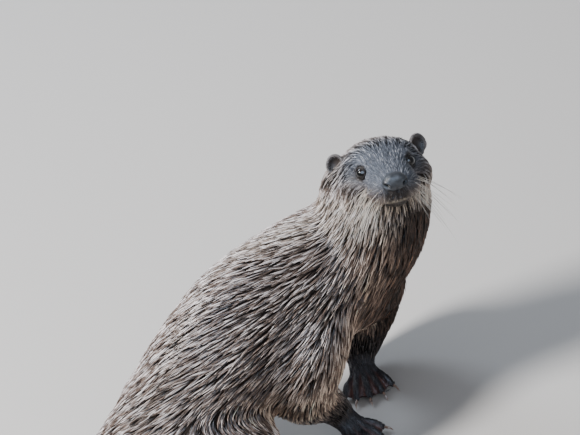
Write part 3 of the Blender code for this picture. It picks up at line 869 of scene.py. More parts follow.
def toe_lines(paw):
    """Each toe of a paw from its knuckle to its claw, as points in the floor's plane."""
    wrist = at_body(*PAW_LINES[paw][0]).xy
    tips = [middle(f"claw_{paw}_{number}").xy for number in range(1, 6)]
    return [(np.array(wrist.lerp(tip, KNUCKLE)), np.array(tip)) for tip in tips]


def toe_gaps(points):
    """Paw by paw, the points on it, their gaps in cm from the nearest toe and the next, and how far along."""
    owner = owners(points)
    for paw in PAWS:
        mine = np.flatnonzero(owner == paw)
        flat = points[mine, :2]
        gaps, shares = [], []
        for knuckle, tip in toe_lines(paw):
            way = tip - knuckle
            share = (flat - knuckle) @ way / (way @ way)
            gaps.append(length_of(flat - knuckle - np.clip(share, 0, 1)[:, None] * way)[:, 0] / CM)
            shares.append(share)
        order = np.argsort(gaps, axis=0)
        near, second = np.take_along_axis(np.array(gaps), order, axis=0)[:2]
        yield mine, near, second, np.take_along_axis(np.array(shares), order, axis=0)[0]


def webbing(points):
    """How far points of the paws lie in the web between two toes, from 0 to 1."""
    made = np.zeros(len(points))
    for mine, near, second, share in toe_gaps(points):
        between = smoothstep(*WEB_NEAR, near) * smoothstep(*WEB_NEXT, second)
        made[mine] = between * smoothstep(*WEB_START, share) * smoothstep(*WEB_END, share)
    return made


def with_toes(mesh):
    """Lowers the webs on the upper side of the paws, so that the toes stand out, with their knuckles."""
    points, normals = points_of(mesh), normals_of(mesh)
    push = -WEB_DEPTH * webbing(points)
    for mine, near, _, share in toe_gaps(points):
        ridge = bell(near / TOE_WIDTH) * smoothstep(*TOE_START, share) * smoothstep(*TOE_END, share)
        knuckles = sum(bell((share - place) / size) for place, size in KNUCKLES)
        push[mine] += ridge * (TOE_HEIGHT + KNUCKLE_HEIGHT * knuckles)
    push *= Places(points, normals).zone(upward=(0.0, 0.5), height=(0.35, 0.75))
    return points + UP * (push * CM)[:, None]


# ---------------- the whole skin

# Where the skin is cut finer, one after another: the face, the muzzle, the paws, the sockets and the lids.
FINER = (
    lambda points: in_front(points, -2.6, 4.2, -5.2),
    lambda points: in_front(points, 1.6, 3.4, -4.6),
    lambda points: (points[:, 2] < PAW_TOP) & np.isin(owners(points), PAWS),
    lambda points: eye_distance(points) < SOCKET_REACH,
    lambda points: eye_distance(points) < LID_REACH,
)


def refine(mesh, wanted):
    """Cuts the edges in two whose ends are both wanted, and relaxes what is wanted."""
    bm = bmesh.new()
    bm.from_mesh(mesh)
    chosen = wanted(np.array([vertex.co[:] for vertex in bm.verts]))
    edges = [edge for edge in bm.edges if chosen[edge.verts[0].index] and chosen[edge.verts[1].index]]
    bmesh.ops.subdivide_edges(bm, edges=edges, cuts=1, use_grid_fill=True)
    bmesh.ops.triangulate(bm, faces=[face for face in bm.faces if len(face.verts) > 4])
    bm.to_mesh(mesh)
    bm.free()
    points = points_of(mesh)
    set_points(mesh, relax(points, edges_of(mesh), 3, 0.5 * wanted(points)))


def make_skin():
    mesh = joined_flesh()
    edges = edges_of(mesh)
    points = relax_flesh(points_of(mesh), edges)
    set_points(mesh, points)
    points = points - normals_of(mesh) * (coat_depth(points, edges) + WELD_GROWTH)[:, None]
    points[:, 2] = np.maximum(points[:, 2], 0.0)
    set_points(mesh, points)
    for wanted in FINER:
        refine(mesh, wanted)
    for sculpted in (with_muzzle, with_lids, with_toes):
        set_points(mesh, sculpted(mesh))
    mesh.shade_smooth()
    return mesh


# ---------------- ears

EAR_AT = (-4.6, 4.55, 0.08)
EAR_SIZE, EAR_STRETCH = 0.93, 1.12
EAR_OPEN, EAR_TILT = 32.0, 75.0  # degrees that the cup turns out and ahead
# Down the ear's outside from its root to the rim and into the cup: distance from its axis and height.
EAR_PROFILE = [
    (0.0, -0.70), (0.30, -0.62), (0.62, -0.52), (0.88, -0.34), (1.05, -0.08), (1.14, 0.14), (1.13, 0.27),
    (1.05, 0.31), (0.96, 0.24), (0.86, 0.06), (0.70, -0.12), (0.45, -0.26), (0.20, -0.32), (0.0, -0.33),
]
PROFILE_STEPS = 4  # from one point of the profile to the next
NOTCH_TURN = 35.0  # degrees round the ear to the notch at its lower front
NOTCH_DEPTH, NOTCH_INSET = 0.22, 0.10
NOTCH_SPREAD = 0.18  # square radians


def ear_matrix(side):
    opened = Matrix.Rotation(math.radians(EAR_OPEN * side), 4, "Z")
    tilted = Matrix.Rotation(math.radians(EAR_TILT), 4, "Y")
    place = Vector((EAR_AT[0], EAR_AT[1] * side, EAR_AT[2])) * CM
    return HEAD @ Matrix.Translation(place) @ (opened @ tilted)


def smooth_profile(rows, steps):
    """The profile drawn through with a soft curve."""
    table = np.array([rows[0], *rows, rows[-1]])
    t = np.linspace(0, 1, steps, endpoint=False)[:, None]
    made = []
    for a, b, c, d in zip(table, table[1:], table[2:], table[3:]):
        bend, swing = 2 * a - 5 * b + 4 * c - d, 3 * b - a - 3 * c + d
        made.append((2 * b + (c - a) * t + bend * t**2 + swing * t**3) / 2)
    return np.concatenate([*made, [table[-1]]])


EAR_CURVE = smooth_profile(EAR_PROFILE, PROFILE_STEPS)


def ear_points(side, turn, share):
    """Points of the ear in metres: turn round its axis, and share from its root over the rim into the cup."""
    steps = np.arange(len(EAR_CURVE))
    radius, height = (np.interp(share * steps[-1], steps, column) for column in EAR_CURVE.T)
    off_notch = np.angle(np.exp(1j * (turn - math.radians(NOTCH_TURN * side))))
    notch = smoothstep(0.4, 1.1, radius) * np.exp(-(off_notch**2) / NOTCH_SPREAD)
    height = height - NOTCH_DEPTH * notch
    radius = radius * (1 - NOTCH_INSET * notch)
    local = np.stack([np.cos(turn) * radius * EAR_STRETCH, np.sin(turn) * radius, height], axis=-1) * EAR_SIZE
    return out_of(ear_matrix(side), local.reshape(-1, 3)).reshape(local.shape)


def add_ears():
    """Round cups with a rolled rim, notched at the lower front."""
    columns, rows = 64, 46
    material = ear_material()
    turns, shares = np.arange(columns) / columns * 2 * np.pi, np.linspace(0.01, 0.99, rows)
    share, turn = np.meshgrid(shares, turns, indexing="ij")
    for side, name in SIDES:
        ends = ear_points(side, np.zeros(2), np.array([0.0, 1.0]))
        points = np.concatenate([ear_points(side, turn, share).reshape(-1, 3), ends])
        mesh = array_mesh("ear_cup_" + name, points, bands(rows, columns), caps(rows, columns))
        add_values(mesh, "inward", np.append(np.repeat(np.linspace(0, 1, rows), columns), [0.0, 1.0]))
        keep("ear_cup_" + name, mesh, material, "coat", "ear_" + name)


# ---------------- whiskers

WHISKER_ROWS, WHISKERS_IN_ROW = 4, 6
WHISKER_RINGS, WHISKER_SIDES = 12, 5
WHISKER_RADIUS = (0.25, 0.40)  # mm, at the root
WHISKER_TIP = 0.12  # of that
WHISKER_ROOT = 0.15  # inside the skin
# The first whisker of the top row, and the step to the last: places, directions and lengths.
PAD_FRONT, PAD_LENGTH = np.array([3.9, 1.7, -1.45]), np.array([-1.9, 0.8, 0.0])
WHISKER_WAY, WHISKER_TURN = np.array([0.25, 1.0, -0.70]), np.array([-0.75, 0.0, 0.0])
WHISKER_LENGTH, WHISKER_GROWTH = 2.6, 3.6
ROW_DROP, ROW_TILT = 0.42, 0.34  # from row to row, of the places and of the directions
ROOT_SPREAD, WAY_SPREAD, LENGTH_SPREAD = 0.07, 0.15, (0.8, 1.2)
SAG, FALL_BACK = (0.12, 0.48), 0.35  # of the length, down and, for each part of that, back


def tube_mesh(name, paths, radii):
    """Tapered tubes along paths, closed at both ends."""
    count, rings = paths.shape[:2]
    ahead = unit(np.gradient(paths, axis=1))
    side = unit(np.cross(ahead, [0.3, 0.5, 0.81]))  # any direction that no whisker runs in
    over = np.cross(ahead, side)
    turn = (np.arange(WHISKER_SIDES) / WHISKER_SIDES * 2 * np.pi)[:, None]
    taper = np.linspace(1, WHISKER_TIP, rings)[None, :, None, None] * radii[:, None, None, None]
    ring = side[:, :, None] * np.cos(turn) + over[:, :, None] * np.sin(turn)
    points = (paths[:, :, None] + ring * taper).reshape(-1, 3)
    fan = np.array([(0, k + 1, k) for k in range(1, WHISKER_SIDES - 1)])
    ends = np.concatenate([fan, fan[:, [0, 2, 1]] + (rings - 1) * WHISKER_SIDES])
    starts = np.arange(count) * rings * WHISKER_SIDES
    return array_mesh(name, points, copies(bands(rings, WHISKER_SIDES), starts), copies(ends, starts))


def whisker_rows(side, rng):
    """Every whisker of one side: root, direction, length, sag and radius, in the head's frame."""
    for row in range(WHISKER_ROWS):
        for k in range(WHISKERS_IN_ROW):
            back = k / (WHISKERS_IN_ROW - 1)
            root = (PAD_FRONT + PAD_LENGTH * back - UP * ROW_DROP * row) * (1, side, 1)
            root += rng.normal(0, ROOT_SPREAD, 3) * (1, 0, 1)
            length = (WHISKER_LENGTH + WHISKER_GROWTH * back) * rng.uniform(*LENGTH_SPREAD)
            way = (WHISKER_WAY + WHISKER_TURN * back - UP * ROW_TILT * row) * (1, side, 1)
            way = unit(way + rng.normal(0, WAY_SPREAD, 3))
            yield root, way, length, rng.uniform(*SAG), rng.uniform(*WHISKER_RADIUS) * MM


def add_whiskers(skin):
    """Stiff pale whiskers from the pads, curving out, back and down."""
    rng = np.random.default_rng(SEED + 1)
    material = whisker_material()
    fall = np.array(turn_of(HEAD.inverted(), (0, 0, -1))) - (FALL_BACK, 0, 0)
    shares = np.linspace(0, 1, WHISKER_RINGS)
    t = shares[:, None]
    for side, name in SIDES:
        lines, radii = [], []
        for root, way, length, sag, radius in whisker_rows(side, rng):
            start = local_to(HEAD, skin.nearest(out_of(HEAD, root[None]))[0])[0] - way * WHISKER_ROOT
            lines.append(start + way * length * t + fall * sag * length * t**2)
            radii.append(radius)
        paths = out_of(HEAD, np.array(lines).reshape(-1, 3)).reshape(len(lines), -1, 3)
        mesh = tube_mesh("whiskers_" + name, paths, np.array(radii))
        along = np.repeat(shares, WHISKER_SIDES)
        add_values(mesh, "along", np.tile(along, len(lines)))
        add_patches(mesh, paths[:, 0], np.tile(np.linspace(-0.5, 0.5, WHISKER_SIDES), WHISKER_RINGS), along)
        keep("whiskers_" + name, mesh, material, "coat")


# ---------------- markings, with painted shade and highlights

# Linear colours.
BACK = (0.250, 0.184, 0.154)
FLANK = (0.262, 0.172, 0.126)
# the throat and chest's brown, darkened as painted shade
THROAT_PAINTED_SHADE = (0.040, 0.021, 0.013)
CROWN = (0.180, 0.155, 0.145)
# the face's grey-brown with a painted blue reflection of the sky on its wet fur
FACE_WITH_SKY_SHEEN = (0.148, 0.170, 0.216)
# pale fur of the cheeks and underside, made lighter still by a painted highlight
PALE_FUR_AND_HIGHLIGHT = (0.500, 0.420, 0.360)
# painted shade under the nose and on the chin below the upper lip
MUZZLE_PAINTED_SHADE = (0.050, 0.038, 0.030)
LIP = (0.640, 0.560, 0.440)
TAIL = (0.200, 0.165, 0.145)
# dark wet legs, with the dark drawn high up the legs as painted shade
WET_LEG_AND_SHADE = (0.090, 0.074, 0.070)
PAW = (0.040, 0.036, 0.042)
RIM = (0.130, 0.118, 0.115)  # the pale ring round the eyes
EYELID = (0.036, 0.030, 0.028)
WEB = (0.185, 0.078, 0.062)
SILVER_HIGHLIGHT = (0.83, 0.83, 0.87)  # painted highlight: the sky's bluish glint on wet hairs of the back
CREAM_HIGHLIGHT = (0.86, 0.72, 0.58)  # painted highlight: the warm glint on wet hairs of the throat and flanks


def marks(points, normals):
    """The animal's markings, the same for skin and coat: colours for points on the skin, with painted shade
    and highlights in them.
    """
    at, owner = Places(points, normals), owners(points)
    head = at.zone(ahead=(-9.5, -7.0), over=(-8.0, -5.5))
    top = head * smoothstep(-3.2, -0.4, at.over - 0.12 * at.aside)
    front = at.zone(forward=(-0.30, 0.35), x=(-1.0, 4.0), height=(4.0, 8.0))
    mouth = at.zone(ahead=(1.4, 2.6), aside=(2.1, 1.3))
    under_nose = at.zone(ahead=(3.0, 4.0), aside=(1.5, 0.8))
    colours = np.tile(np.array(FLANK), (len(points), 1))
    for colour, share in (
        (BACK, at.zone(upward=(-0.2, 0.7))),
        (PALE_FUR_AND_HIGHLIGHT, 0.35 * at.zone(upward=(-0.2, -0.8), height=(26, 18))),
        (TAIL, 0.9 * at.zone(x=(-28, -36))),
        # dark wet legs, partly painted shade
        (WET_LEG_AND_SHADE, at.zone(height=(10.5, 4.5)) * np.isin(owner, LEGS)),
        (PAW, np.isin(owner, PAWS)),
        (WEB, 0.75 * webbing(points) * at.zone(height=(3.0, 2.0))),
        # the pale cheeks, partly their own colour and partly painted highlight
        (PALE_FUR_AND_HIGHLIGHT, 0.8 * head * at.zone(over=(-1.4, -2.8), ahead=(-8.0, -5.0))),
        (CROWN, top * at.zone(ahead=(-8.5, -4.0))),
        # grey-brown with a painted blue sky reflection on the brow and face
        (FACE_WITH_SKY_SHEEN, top * at.zone(ahead=(-4.6, -1.2), aside=(5.4, 3.4))),
        # painted shade on the throat and chest
        (THROAT_PAINTED_SHADE, front * (1 - head * at.zone(over=(-5.2, -3.8)))),
        # painted shadow under the nose
        (MUZZLE_PAINTED_SHADE, 0.9 * under_nose * at.zone(lip=(0.30, 0.55)) * at.zone(lip=(2.1, 1.4))),
        # painted shade on the chin under the upper lip
        (MUZZLE_PAINTED_SHADE, 0.95 * mouth * at.zone(lip=(0.0, -0.12)) * at.zone(lip=(-1.3, -0.7))),
        (LIP, mouth * at.zone(lip=(-0.06, 0.02)) * at.zone(lip=(0.40, 0.26))),
    ):
        colours = mixed(colours, colour, share)
    for matrix in EYE_FRAMES.values():
        e, flat = from_eye(matrix, points)
        flat[(e[:, 0] < -0.6) | (np.abs(e).max(axis=1) > 2.5)] = np.inf
        colours = mixed(colours, EYELID, 0.80 * smoothstep(2.1, 1.5, flat))
        colours = mixed(colours, RIM, smoothstep(1.7, 1.45, flat))
        colours = mixed(colours, EYELID, smoothstep(1.38, 1.22, flat))
    return np.clip(colours, 0, 1)


# The fur of the face streams out round a point ahead of the nose, and turns about a line below the eyes.
NOSE_TIP, MUZZLE_AXIS, HEAD_REACH = 5.5, 1.4, 3.2


def add_grain(mesh, points):
    """Along and across the lie of the hair, in cm, for the streaks in the skin's finish."""
    nearest = nearest_guides(points)
    along, turn = unwrap(points, nearest)
    at = Places(points)
    head = GUIDE_NAMES[nearest] == "head"
    over = at.over + MUZZLE_AXIS
    turn = np.where(head, np.arctan2(at.beside, over) * HEAD_REACH, turn * GUIDE_REACH[nearest] / CM)
    along = np.where(head, np.hypot(at.ahead - NOSE_TIP, np.hypot(at.beside, over)), along)
    grain = np.stack([along, turn, np.zeros(len(points))], axis=1)
    add_values(mesh, "grain", grain, "FLOAT_VECTOR", "vector")


# ---------------- coat

# Kinds of hair: length and width in mm, and roots to the square centimetre.
TRUNK_HAIR = (20.0, 1.20, 19.0)
NECK_HAIR = (24.0, 1.05, 21.5)
CROWN_HAIR = (11.5, 0.85, 28.0)
FACE_HAIR = (5.4, 0.50, 76.0)
CHEEK_HAIR = (14.0, 0.85, 30.0)
SHANK_HAIR = (9.0, 1.10, 22.0)
PAW_HAIR = (3.8, 0.60, 36.0)
TAIL_HAIR = (17.0, 1.20, 15.0)
NOSE_BARE = ((4.7, 0.0, -0.5), (1.1, 1.3, 1.0))  # place and half sizes of the bare skin round the nose
MOUTH_BARE = (0.08, 0.24)  # height over the mouth's line and half width
EYE_BARE = 1.55  # openings of the eye
WEB_BARE, WEB_TOP = 0.35, 2.5  # share of webbing, and the height up to which it counts
SOLE_HEIGHT, PAD_HEIGHT = 0.4, 1.2  # bare all round, and bare underneath

# Along a lock, ring by ring and then its tip.
RING_AT = np.array([0.0, 0.30, 0.60, 0.84, 1.0])
RING_WIDTH = np.array([0.60, 1.0, 0.84, 0.50])
RING_PULL = np.array([0.0, 0.62, 0.88, 0.97, 1.0])  # towards its clump's line
LOCK_RISE = np.array([0.0, 0.42, 0.78, 1.0, 1.22])  # of the coat's depth
LONG_RINGS, SHORT_RINGS = np.array([0, 1, 2, 3]), np.array([0, 1, 3])
SHORT = 11.0  # mm, below which a hair has the short rings
LOCKS_IN_PIECE = 8800

PULL, PULL_LIMIT = 0.84, 0.93
CLUMP_SHARE = 0.24  # of the hairs that lead a clump
CLUMP_STRETCH = 3.6  # how much further a clump reaches along the hair than across
NEIGHBOURS = 9  # clumps that a hair chooses from
DRAWN_OUT = 3  # times the first and the last stretch of a clump's line
CREST_WIDTH = 0.95 * MM
FLATNESS = 0.62
RISE_LIMIT = 0.17  # of a hair's length, so that short fur lies close
RISE_LEAST, ROOT_DEPTH = 0.25 * MM, 0.5 * MM
CREST_RISE = (0.72, 0.40)  # of a hair off its clump's crest, and how much more on it
LIE_ROUNDS = 12  # of relaxing the lie

# How hairs differ: shares of their own lengths, widths, pulls and layers, and radians.
LENGTHS, WIDTHS, PULLS = (0.7, 1.15), (0.7, 1.3), (0.75, 1.2)
CLUMP_LAYERS, HAIR_LAYERS = (0.60, 1.30), (0.85, 1.1)
TURNS = 0.10

# How light a hair is: a random tone by its clump and by itself, and a painted highlight by how near it is to
# the clump's crest, with painted shade towards its edges.
CLUMP_TONE, HAIR_TONE, CREST_HIGHLIGHT, CREST_MEAN = 0.60, 0.60, 1.5, 0.45
TONE_FORCE, TONE_SHIFT = 0.78, -0.38  # from a tone to how many times, as a power of e
GLINT_TONES, GLINT_SHARE = (0.35, 1.5), 0.84  # the tones whose locks take a painted highlight, and how far
GLINT_GROUND = 0.60  # the sum of a marking's colour at which its hairs take the painted highlight in full
BRIGHTEST = 0.94
TONE_LENGTHS = (6.0, 14.0)  # mm, from half the contrast to all of it
LONG_FOOT_SHADE, SHORT_FOOT_SHADE, TIP_LIGHT = 0.14, 0.80, 1.18  # how light a hair is: painted shade at its foot, lighter at its tip
FOOT_LENGTHS = (12.0, 5.0)  # mm, from a long hair's foot to a short one's
LIGHT_REACH = 0.75  # of a hair's length, up to where it turns as light as its tip


def hair_kinds(points):
    """Length, width and density of the hair at points, as columns."""
    at, owner = Places(points), owners(points)
    head = at.zone(ahead=(-9.5, -6.5), over=(-8.5, -5.5))
    low = at.zone(over=(-0.4, -2.2))
    face = at.zone(ahead=(-2.6, -0.8), over=(-2.6, -1.2))
    muzzle = at.zone(ahead=(0.8, 2.4), over=(-4.6, -3.6))
    kinds = np.tile(np.array(TRUNK_HAIR), (len(points), 1))
    for kind, share in (
        (NECK_HAIR, at.zone(x=(-3.0, 3.0), height=(12, 17))),
        (TAIL_HAIR, at.zone(x=(-26, -34))),
        (SHANK_HAIR, at.zone(height=(9.5, 4.5)) * np.isin(owner, LEGS)),
        (PAW_HAIR, np.isin(owner, PAWS)),
        (CROWN_HAIR, head * (1 - low)),
        (CHEEK_HAIR, head * low),
        (FACE_HAIR, head * np.maximum(face, muzzle)),
    ):
        kinds = mixed(kinds, kind, share)
    return kinds


def bare(points, normals):
    """True where no hair grows: round the eyes, on the nose, the lips, the soles and the webs."""
    at = Places(points, normals)
    none = (webbing(points) > WEB_BARE) & (at.height < WEB_TOP)
    none |= (at.height < SOLE_HEIGHT) | ((at.upward < -0.5) & (at.height < PAD_HEIGHT))
    for matrix in EYE_FRAMES.values():
        e, flat = from_eye(matrix, points)
        none |= (flat < EYE_BARE) & (np.abs(e[:, 0]) < 1.2)
    none |= (np.abs(at.lip - MOUTH_BARE[0]) < MOUTH_BARE[1]) & (at.ahead > MOUTH_CORNER)
    return none | ((((local_to(HEAD, points) - NOSE_BARE[0]) / NOSE_BARE[1]) ** 2).sum(axis=1) < 1)


class Skin:
    """The finished skin with what is looked up on it: the nearest point, the lie and the depth."""

    def __init__(self, mesh):
        self.points = points_of(mesh)
        self.normals = normals_of(mesh)
        edges = edges_of(mesh)
        lie = relax(flow(self.points, self.normals), edges, LIE_ROUNDS)
        self.lie = unit(along_skin(lie, self.normals))
        self.depth = coat_depth(self.points, edges)
        mesh.calc_loop_triangles()
        self.triangles = read(mesh.loop_triangles, "vertices", np.int32)
        self.tree = BVHTree.FromPolygons(self.points.tolist(), self.triangles.tolist())

    def nearest(self, points):
        """Points brought to the skin, with the vertex whose values hold there."""
        found = [self.tree.find_nearest(point) for point in points.tolist()]
        places = np.array([hit[0] for hit in found])
        corners = self.triangles[[hit[2] for hit in found]]
        gap = np.linalg.norm(self.points[corners] - places[:, None], axis=2)
        return places, corners[np.arange(len(corners)), gap.argmin(axis=1)]


def sow(skin, rng):
    """Random roots over the skin, thick where the hair is fine: places, kinds and vertices."""
    a, b, c = (skin.points[skin.triangles[:, k]] for k in range(3))
    centres = (a + b + c) / 3
    cross = np.cross(b - a, c - a)
    kinds = hair_kinds(centres)
    hairs = length_of(cross)[:, 0] / 2 / CM**2 * kinds[:, 2]
    hairs[bare(centres, unit(cross))] = 0
    total = int(hairs.sum())
    picked = rng.choice(len(hairs), total, p=hairs / hairs.sum())
    u, v = rng.random(total), rng.random(total)
    flip = u + v > 1
    u[flip], v[flip] = 1 - u[flip], 1 - v[flip]
    roots = a[picked] + (b - a)[picked] * u[:, None] + (c - a)[picked] * v[:, None]
    return roots, kinds[picked], skin.triangles[picked, 0]


def trace(skin, roots, vertices, lengths, angles):
    """Each hair's run over the skin: its points and the vertex under each, ring by ring."""
    places, under = [roots], [vertices]
    cos, sin = np.cos(angles)[:, None], np.sin(angles)[:, None]
    for step in np.diff(RING_AT):
        lie = skin.lie[under[-1]]
        way = lie * cos + np.cross(skin.normals[under[-1]], lie) * sin
        place, vertex = skin.nearest(places[-1] + way * (lengths * step)[:, None])
        places.append(place)
        under.append(vertex)
    return np.stack(places, axis=1), np.stack(under, axis=1)


def nearest_seeds(roots, seeds, lie):
    """Each root's clump, and how far off its line the root is."""
    tree = KDTree(len(seeds))
    for k, seed in enumerate(seeds):
        tree.insert(roots[seed].tolist(), k)
    tree.balance()
    near = np.array([[hit[1] for hit in tree.find_n(root, NEIGHBOURS)] for root in roots.tolist()])
    gap = roots[seeds[near]] - roots[:, None]
    along = (gap * lie[:, None]).sum(axis=2)
    aside = np.maximum((gap**2).sum(axis=2) - along**2, 0)
    best = (aside + (along / CLUMP_STRETCH) ** 2).argmin(axis=1)
    pick = np.arange(len(roots))
    return seeds[near[pick, best]], np.sqrt(aside[pick, best])


def drawn_to_lines(paths, lines):
    """For every point of each path the nearest point of its own clump's line, drawn out both ways."""
    first = lines[:, :1] - (lines[:, 1:2] - lines[:, :1]) * DRAWN_OUT
    last = lines[:, -1:] + (lines[:, -1:] - lines[:, -2:-1]) * DRAWN_OUT
    full = np.concatenate([first, lines, last], axis=1)
    best = np.full(paths.shape[:2], np.inf)
    found = np.empty_like(paths)
    for k in range(full.shape[1] - 1):
        start, way = full[:, None, k], (full[:, k + 1] - full[:, k])[:, None]
        share = ((paths - start) * way).sum(axis=2) / np.maximum((way**2).sum(axis=2), 1e-12)
        place = start + way * np.clip(share, 0, 1)[:, :, None]
        gap = ((paths - place) ** 2).sum(axis=2)
        closer = gap < best
        best[closer] = gap[closer]
        found[closer] = place[closer]
    return found


def lock_arrays(skin, roots, vertices, kinds, rng):
    """Paths, normals, widths and clumps of all the locks, and how near each is to its clump's crest."""
    count = len(roots)
    lengths = kinds[:, 0] * MM * rng.uniform(*LENGTHS, count)
    paths, under = trace(skin, roots, vertices, lengths, rng.normal(0, TURNS, count))
    normals = skin.normals[under]
    seeds = np.flatnonzero(rng.random(count) < CLUMP_SHARE)
    seed, aside = nearest_seeds(roots, seeds, skin.lie[vertices])
    crest = bell(aside / CREST_WIDTH)
    pull = np.minimum(PULL * rng.uniform(*PULLS, count), PULL_LIMIT)[:, None] * RING_PULL[None]
    paths = paths + (drawn_to_lines(paths, paths[seed]) - paths) * pull[:, :, None]
    layer = rng.uniform(*CLUMP_LAYERS, count)[seed] * rng.uniform(*HAIR_LAYERS, count)
    layer *= CREST_RISE[0] + CREST_RISE[1] * crest
    rise = LOCK_RISE[None] * np.minimum(skin.depth[under] * layer[:, None], RISE_LIMIT * lengths[:, None])
    rise[:, 1:] = np.maximum(rise[:, 1:], RISE_LEAST)
    rise[:, 0] = -ROOT_DEPTH
    widths = kinds[:, 1] * MM * rng.uniform(*WIDTHS, count)
    return paths + normals * rise[:, :, None], normals, widths, seed, crest


def lock_mesh(name, paths, normals, widths, rings):
    """Closed three-sided spindles, flat against the skin with a ridge along the back."""
    ahead = np.gradient(paths, axis=1)
    side = unit(np.cross(normals, ahead))
    over = unit(np.cross(ahead, side))
    half = widths[:, None, None] * RING_WIDTH[None, rings, None] / 2
    base, side, over = paths[:, rings], side[:, rings] * half, over[:, rings] * half * FLATNESS
    corners = np.stack([base - side - over, base + side - over, base + over * 2], axis=2)
    tip = len(rings) * 3
    points = np.concatenate([corners.reshape(len(paths), tip, 3), paths[:, -1:]], axis=1)
    ends = np.array([(tip - 3, tip - 2, tip), (tip - 2, tip - 1, tip), (tip - 1, tip - 3, tip), (2, 1, 0)])
    starts = np.arange(len(paths)) * (tip + 1)
    quads, triangles = copies(bands(len(rings), 3), starts), copies(ends, starts)
    return array_mesh(name, points.reshape(-1, 3), quads, triangles)


def add_locks(name, material, locks, rings, roots, colours, painted_light):
    """One piece of the coat: locks are paths, normals and widths; their painted light, shade at the foot and
    lighter to the tip, goes by shares of their lengths.
    """
    mesh = lock_mesh(name, *locks, rings)
    along = np.append(np.repeat(RING_AT[rings], 3), 1.0)
    across = np.append(np.tile([-0.5, 0.5, 0.0], len(rings)), 0.0)
    add_colours(mesh, "mark", np.repeat(colours, len(along), axis=0))
    add_values(mesh, "painted_light", np.broadcast_to(painted_light(along), (len(roots), len(along))))
    add_patches(mesh, roots, across, along)
    keep(name, mesh, material, "coat")


def lock_colours(marked, tones_with_highlight, upward):
    """Each lock's colour: brown or grey by its place and tone, with a painted highlight that makes some locks
    much paler than their neighbours, silver where they face up.
    """
    colours = marked * np.exp(TONE_FORCE * tones_with_highlight + TONE_SHIFT)[:, None]
    glint = mixed(np.array(CREAM_HIGHLIGHT), SILVER_HIGHLIGHT, smoothstep(-0.3, 0.6, upward))
    share = GLINT_SHARE * smoothstep(*GLINT_TONES, tones_with_highlight) * np.clip(marked.sum(axis=1) / GLINT_GROUND, 0, 1) ** 3
    return np.clip(mixed(colours, glint, share), 0, BRIGHTEST)


def add_coat(skin, material):
    rng = np.random.default_rng(SEED)
    roots, kinds, vertices = sow(skin, rng)
    *locks, seed, crest = lock_arrays(skin, roots, vertices, kinds, rng)
    lengths, normals = kinds[:, 0], skin.normals[vertices]
    tones_with_highlight = CLUMP_TONE * rng.normal(0, 1, len(roots))[seed] + HAIR_TONE * rng.normal(0, 1, len(roots))
    # painted highlight on each clump's crest and painted shade at its edges
    tones_with_highlight = (tones_with_highlight + CREST_HIGHLIGHT * (crest - CREST_MEAN)) * (0.5 + 0.5 * smoothstep(*TONE_LENGTHS, lengths))
    colours = lock_colours(marks(roots, normals), tones_with_highlight, normals[:, 2])
    # painted shade at the foot of each hair
    foot = LONG_FOOT_SHADE + (SHORT_FOOT_SHADE - LONG_FOOT_SHADE) * smoothstep(*FOOT_LENGTHS, lengths)[:, None]
    long = lengths >= SHORT
    for title, chosen, rings in (("long", long, LONG_RINGS), ("short", ~long, SHORT_RINGS)):
        order = np.flatnonzero(chosen)
        order = order[np.argsort(locks[0][order, 0, 0])]
        for number, part in enumerate(np.array_split(order, math.ceil(len(order) / LOCKS_IN_PIECE))):

            def painted_light(along):
                return foot[part] + (TIP_LIGHT - foot[part]) * smoothstep(0.0, LIGHT_REACH, along)

            mine = [values[part] for values in locks]
            add_locks(f"coat_{title}_{number}", material, mine, rings, roots[part], colours[part], painted_light)


EAR_FUR = 1500  # hairs on each ear
EAR_FUR_COLOUR = (0.240, 0.228, 0.232)
EAR_FUR_LIFT = np.array([-0.2, 0.10, 0.28, 0.45, 0.62]) * MM  # off the ear, from a hair's root to its tip
EAR_FUR_START, EAR_FUR_SPAN = 0.08, 0.60  # of the way over the ear, where the roots are
EAR_FUR_SPREAD = (1.6, 1.2)  # the two parameters of their beta distribution
EAR_FUR_REACH = (0.07, 0.12)  # of that way, the hairs' lengths
EAR_FUR_SWAY = 0.10  # radians
EAR_FUR_WIDTH = (0.32, 0.60)  # mm
EAR_FUR_TONE = 0.35
EAR_FUR_FOOT_SHADE, EAR_FUR_TIP = 0.7, 0.5  # how light a hair is: painted shade at its foot, and how much lighter at its tip


def ear_locks(rng):
    """Short hairs up the back of each ear, over its rim and a little way into the cup."""
    paths, normals = [], []
    for side, _ in SIDES:
        start = rng.beta(*EAR_FUR_SPREAD, EAR_FUR) * EAR_FUR_SPAN + EAR_FUR_START
        turn = rng.uniform(0, 2 * np.pi, EAR_FUR)
        reach = rng.uniform(*EAR_FUR_REACH, EAR_FUR)
        sway = rng.normal(0, EAR_FUR_SWAY, EAR_FUR)
        share = start[:, None] + reach[:, None] * RING_AT[None]
        around = turn[:, None] + sway[:, None] * RING_AT[None]
        run = ear_points(side, around, share)
        up = ear_points(side, around, share + 0.004) - run
        beside = ear_points(side, around + 0.01, share) - run
        out = unit(np.cross(beside, up))
        paths.append(run + out * EAR_FUR_LIFT[None, :, None])
        normals.append(out)
    return np.concatenate(paths), np.concatenate(normals)


def add_ear_fur(material):
    rng = np.random.default_rng(SEED + 2)
    paths, normals = ear_locks(rng)
    locks = paths, normals, rng.uniform(*EAR_FUR_WIDTH, len(paths)) * MM
    colours = np.array(EAR_FUR_COLOUR) * np.exp(EAR_FUR_TONE * rng.normal(0, 1, len(paths)))[:, None]

    def painted_light(along):
        return EAR_FUR_FOOT_SHADE + EAR_FUR_TIP * along

    add_locks("ear_fur", material, locks, SHORT_RINGS, paths[:, 0], colours, painted_light)


# ---------------- claws


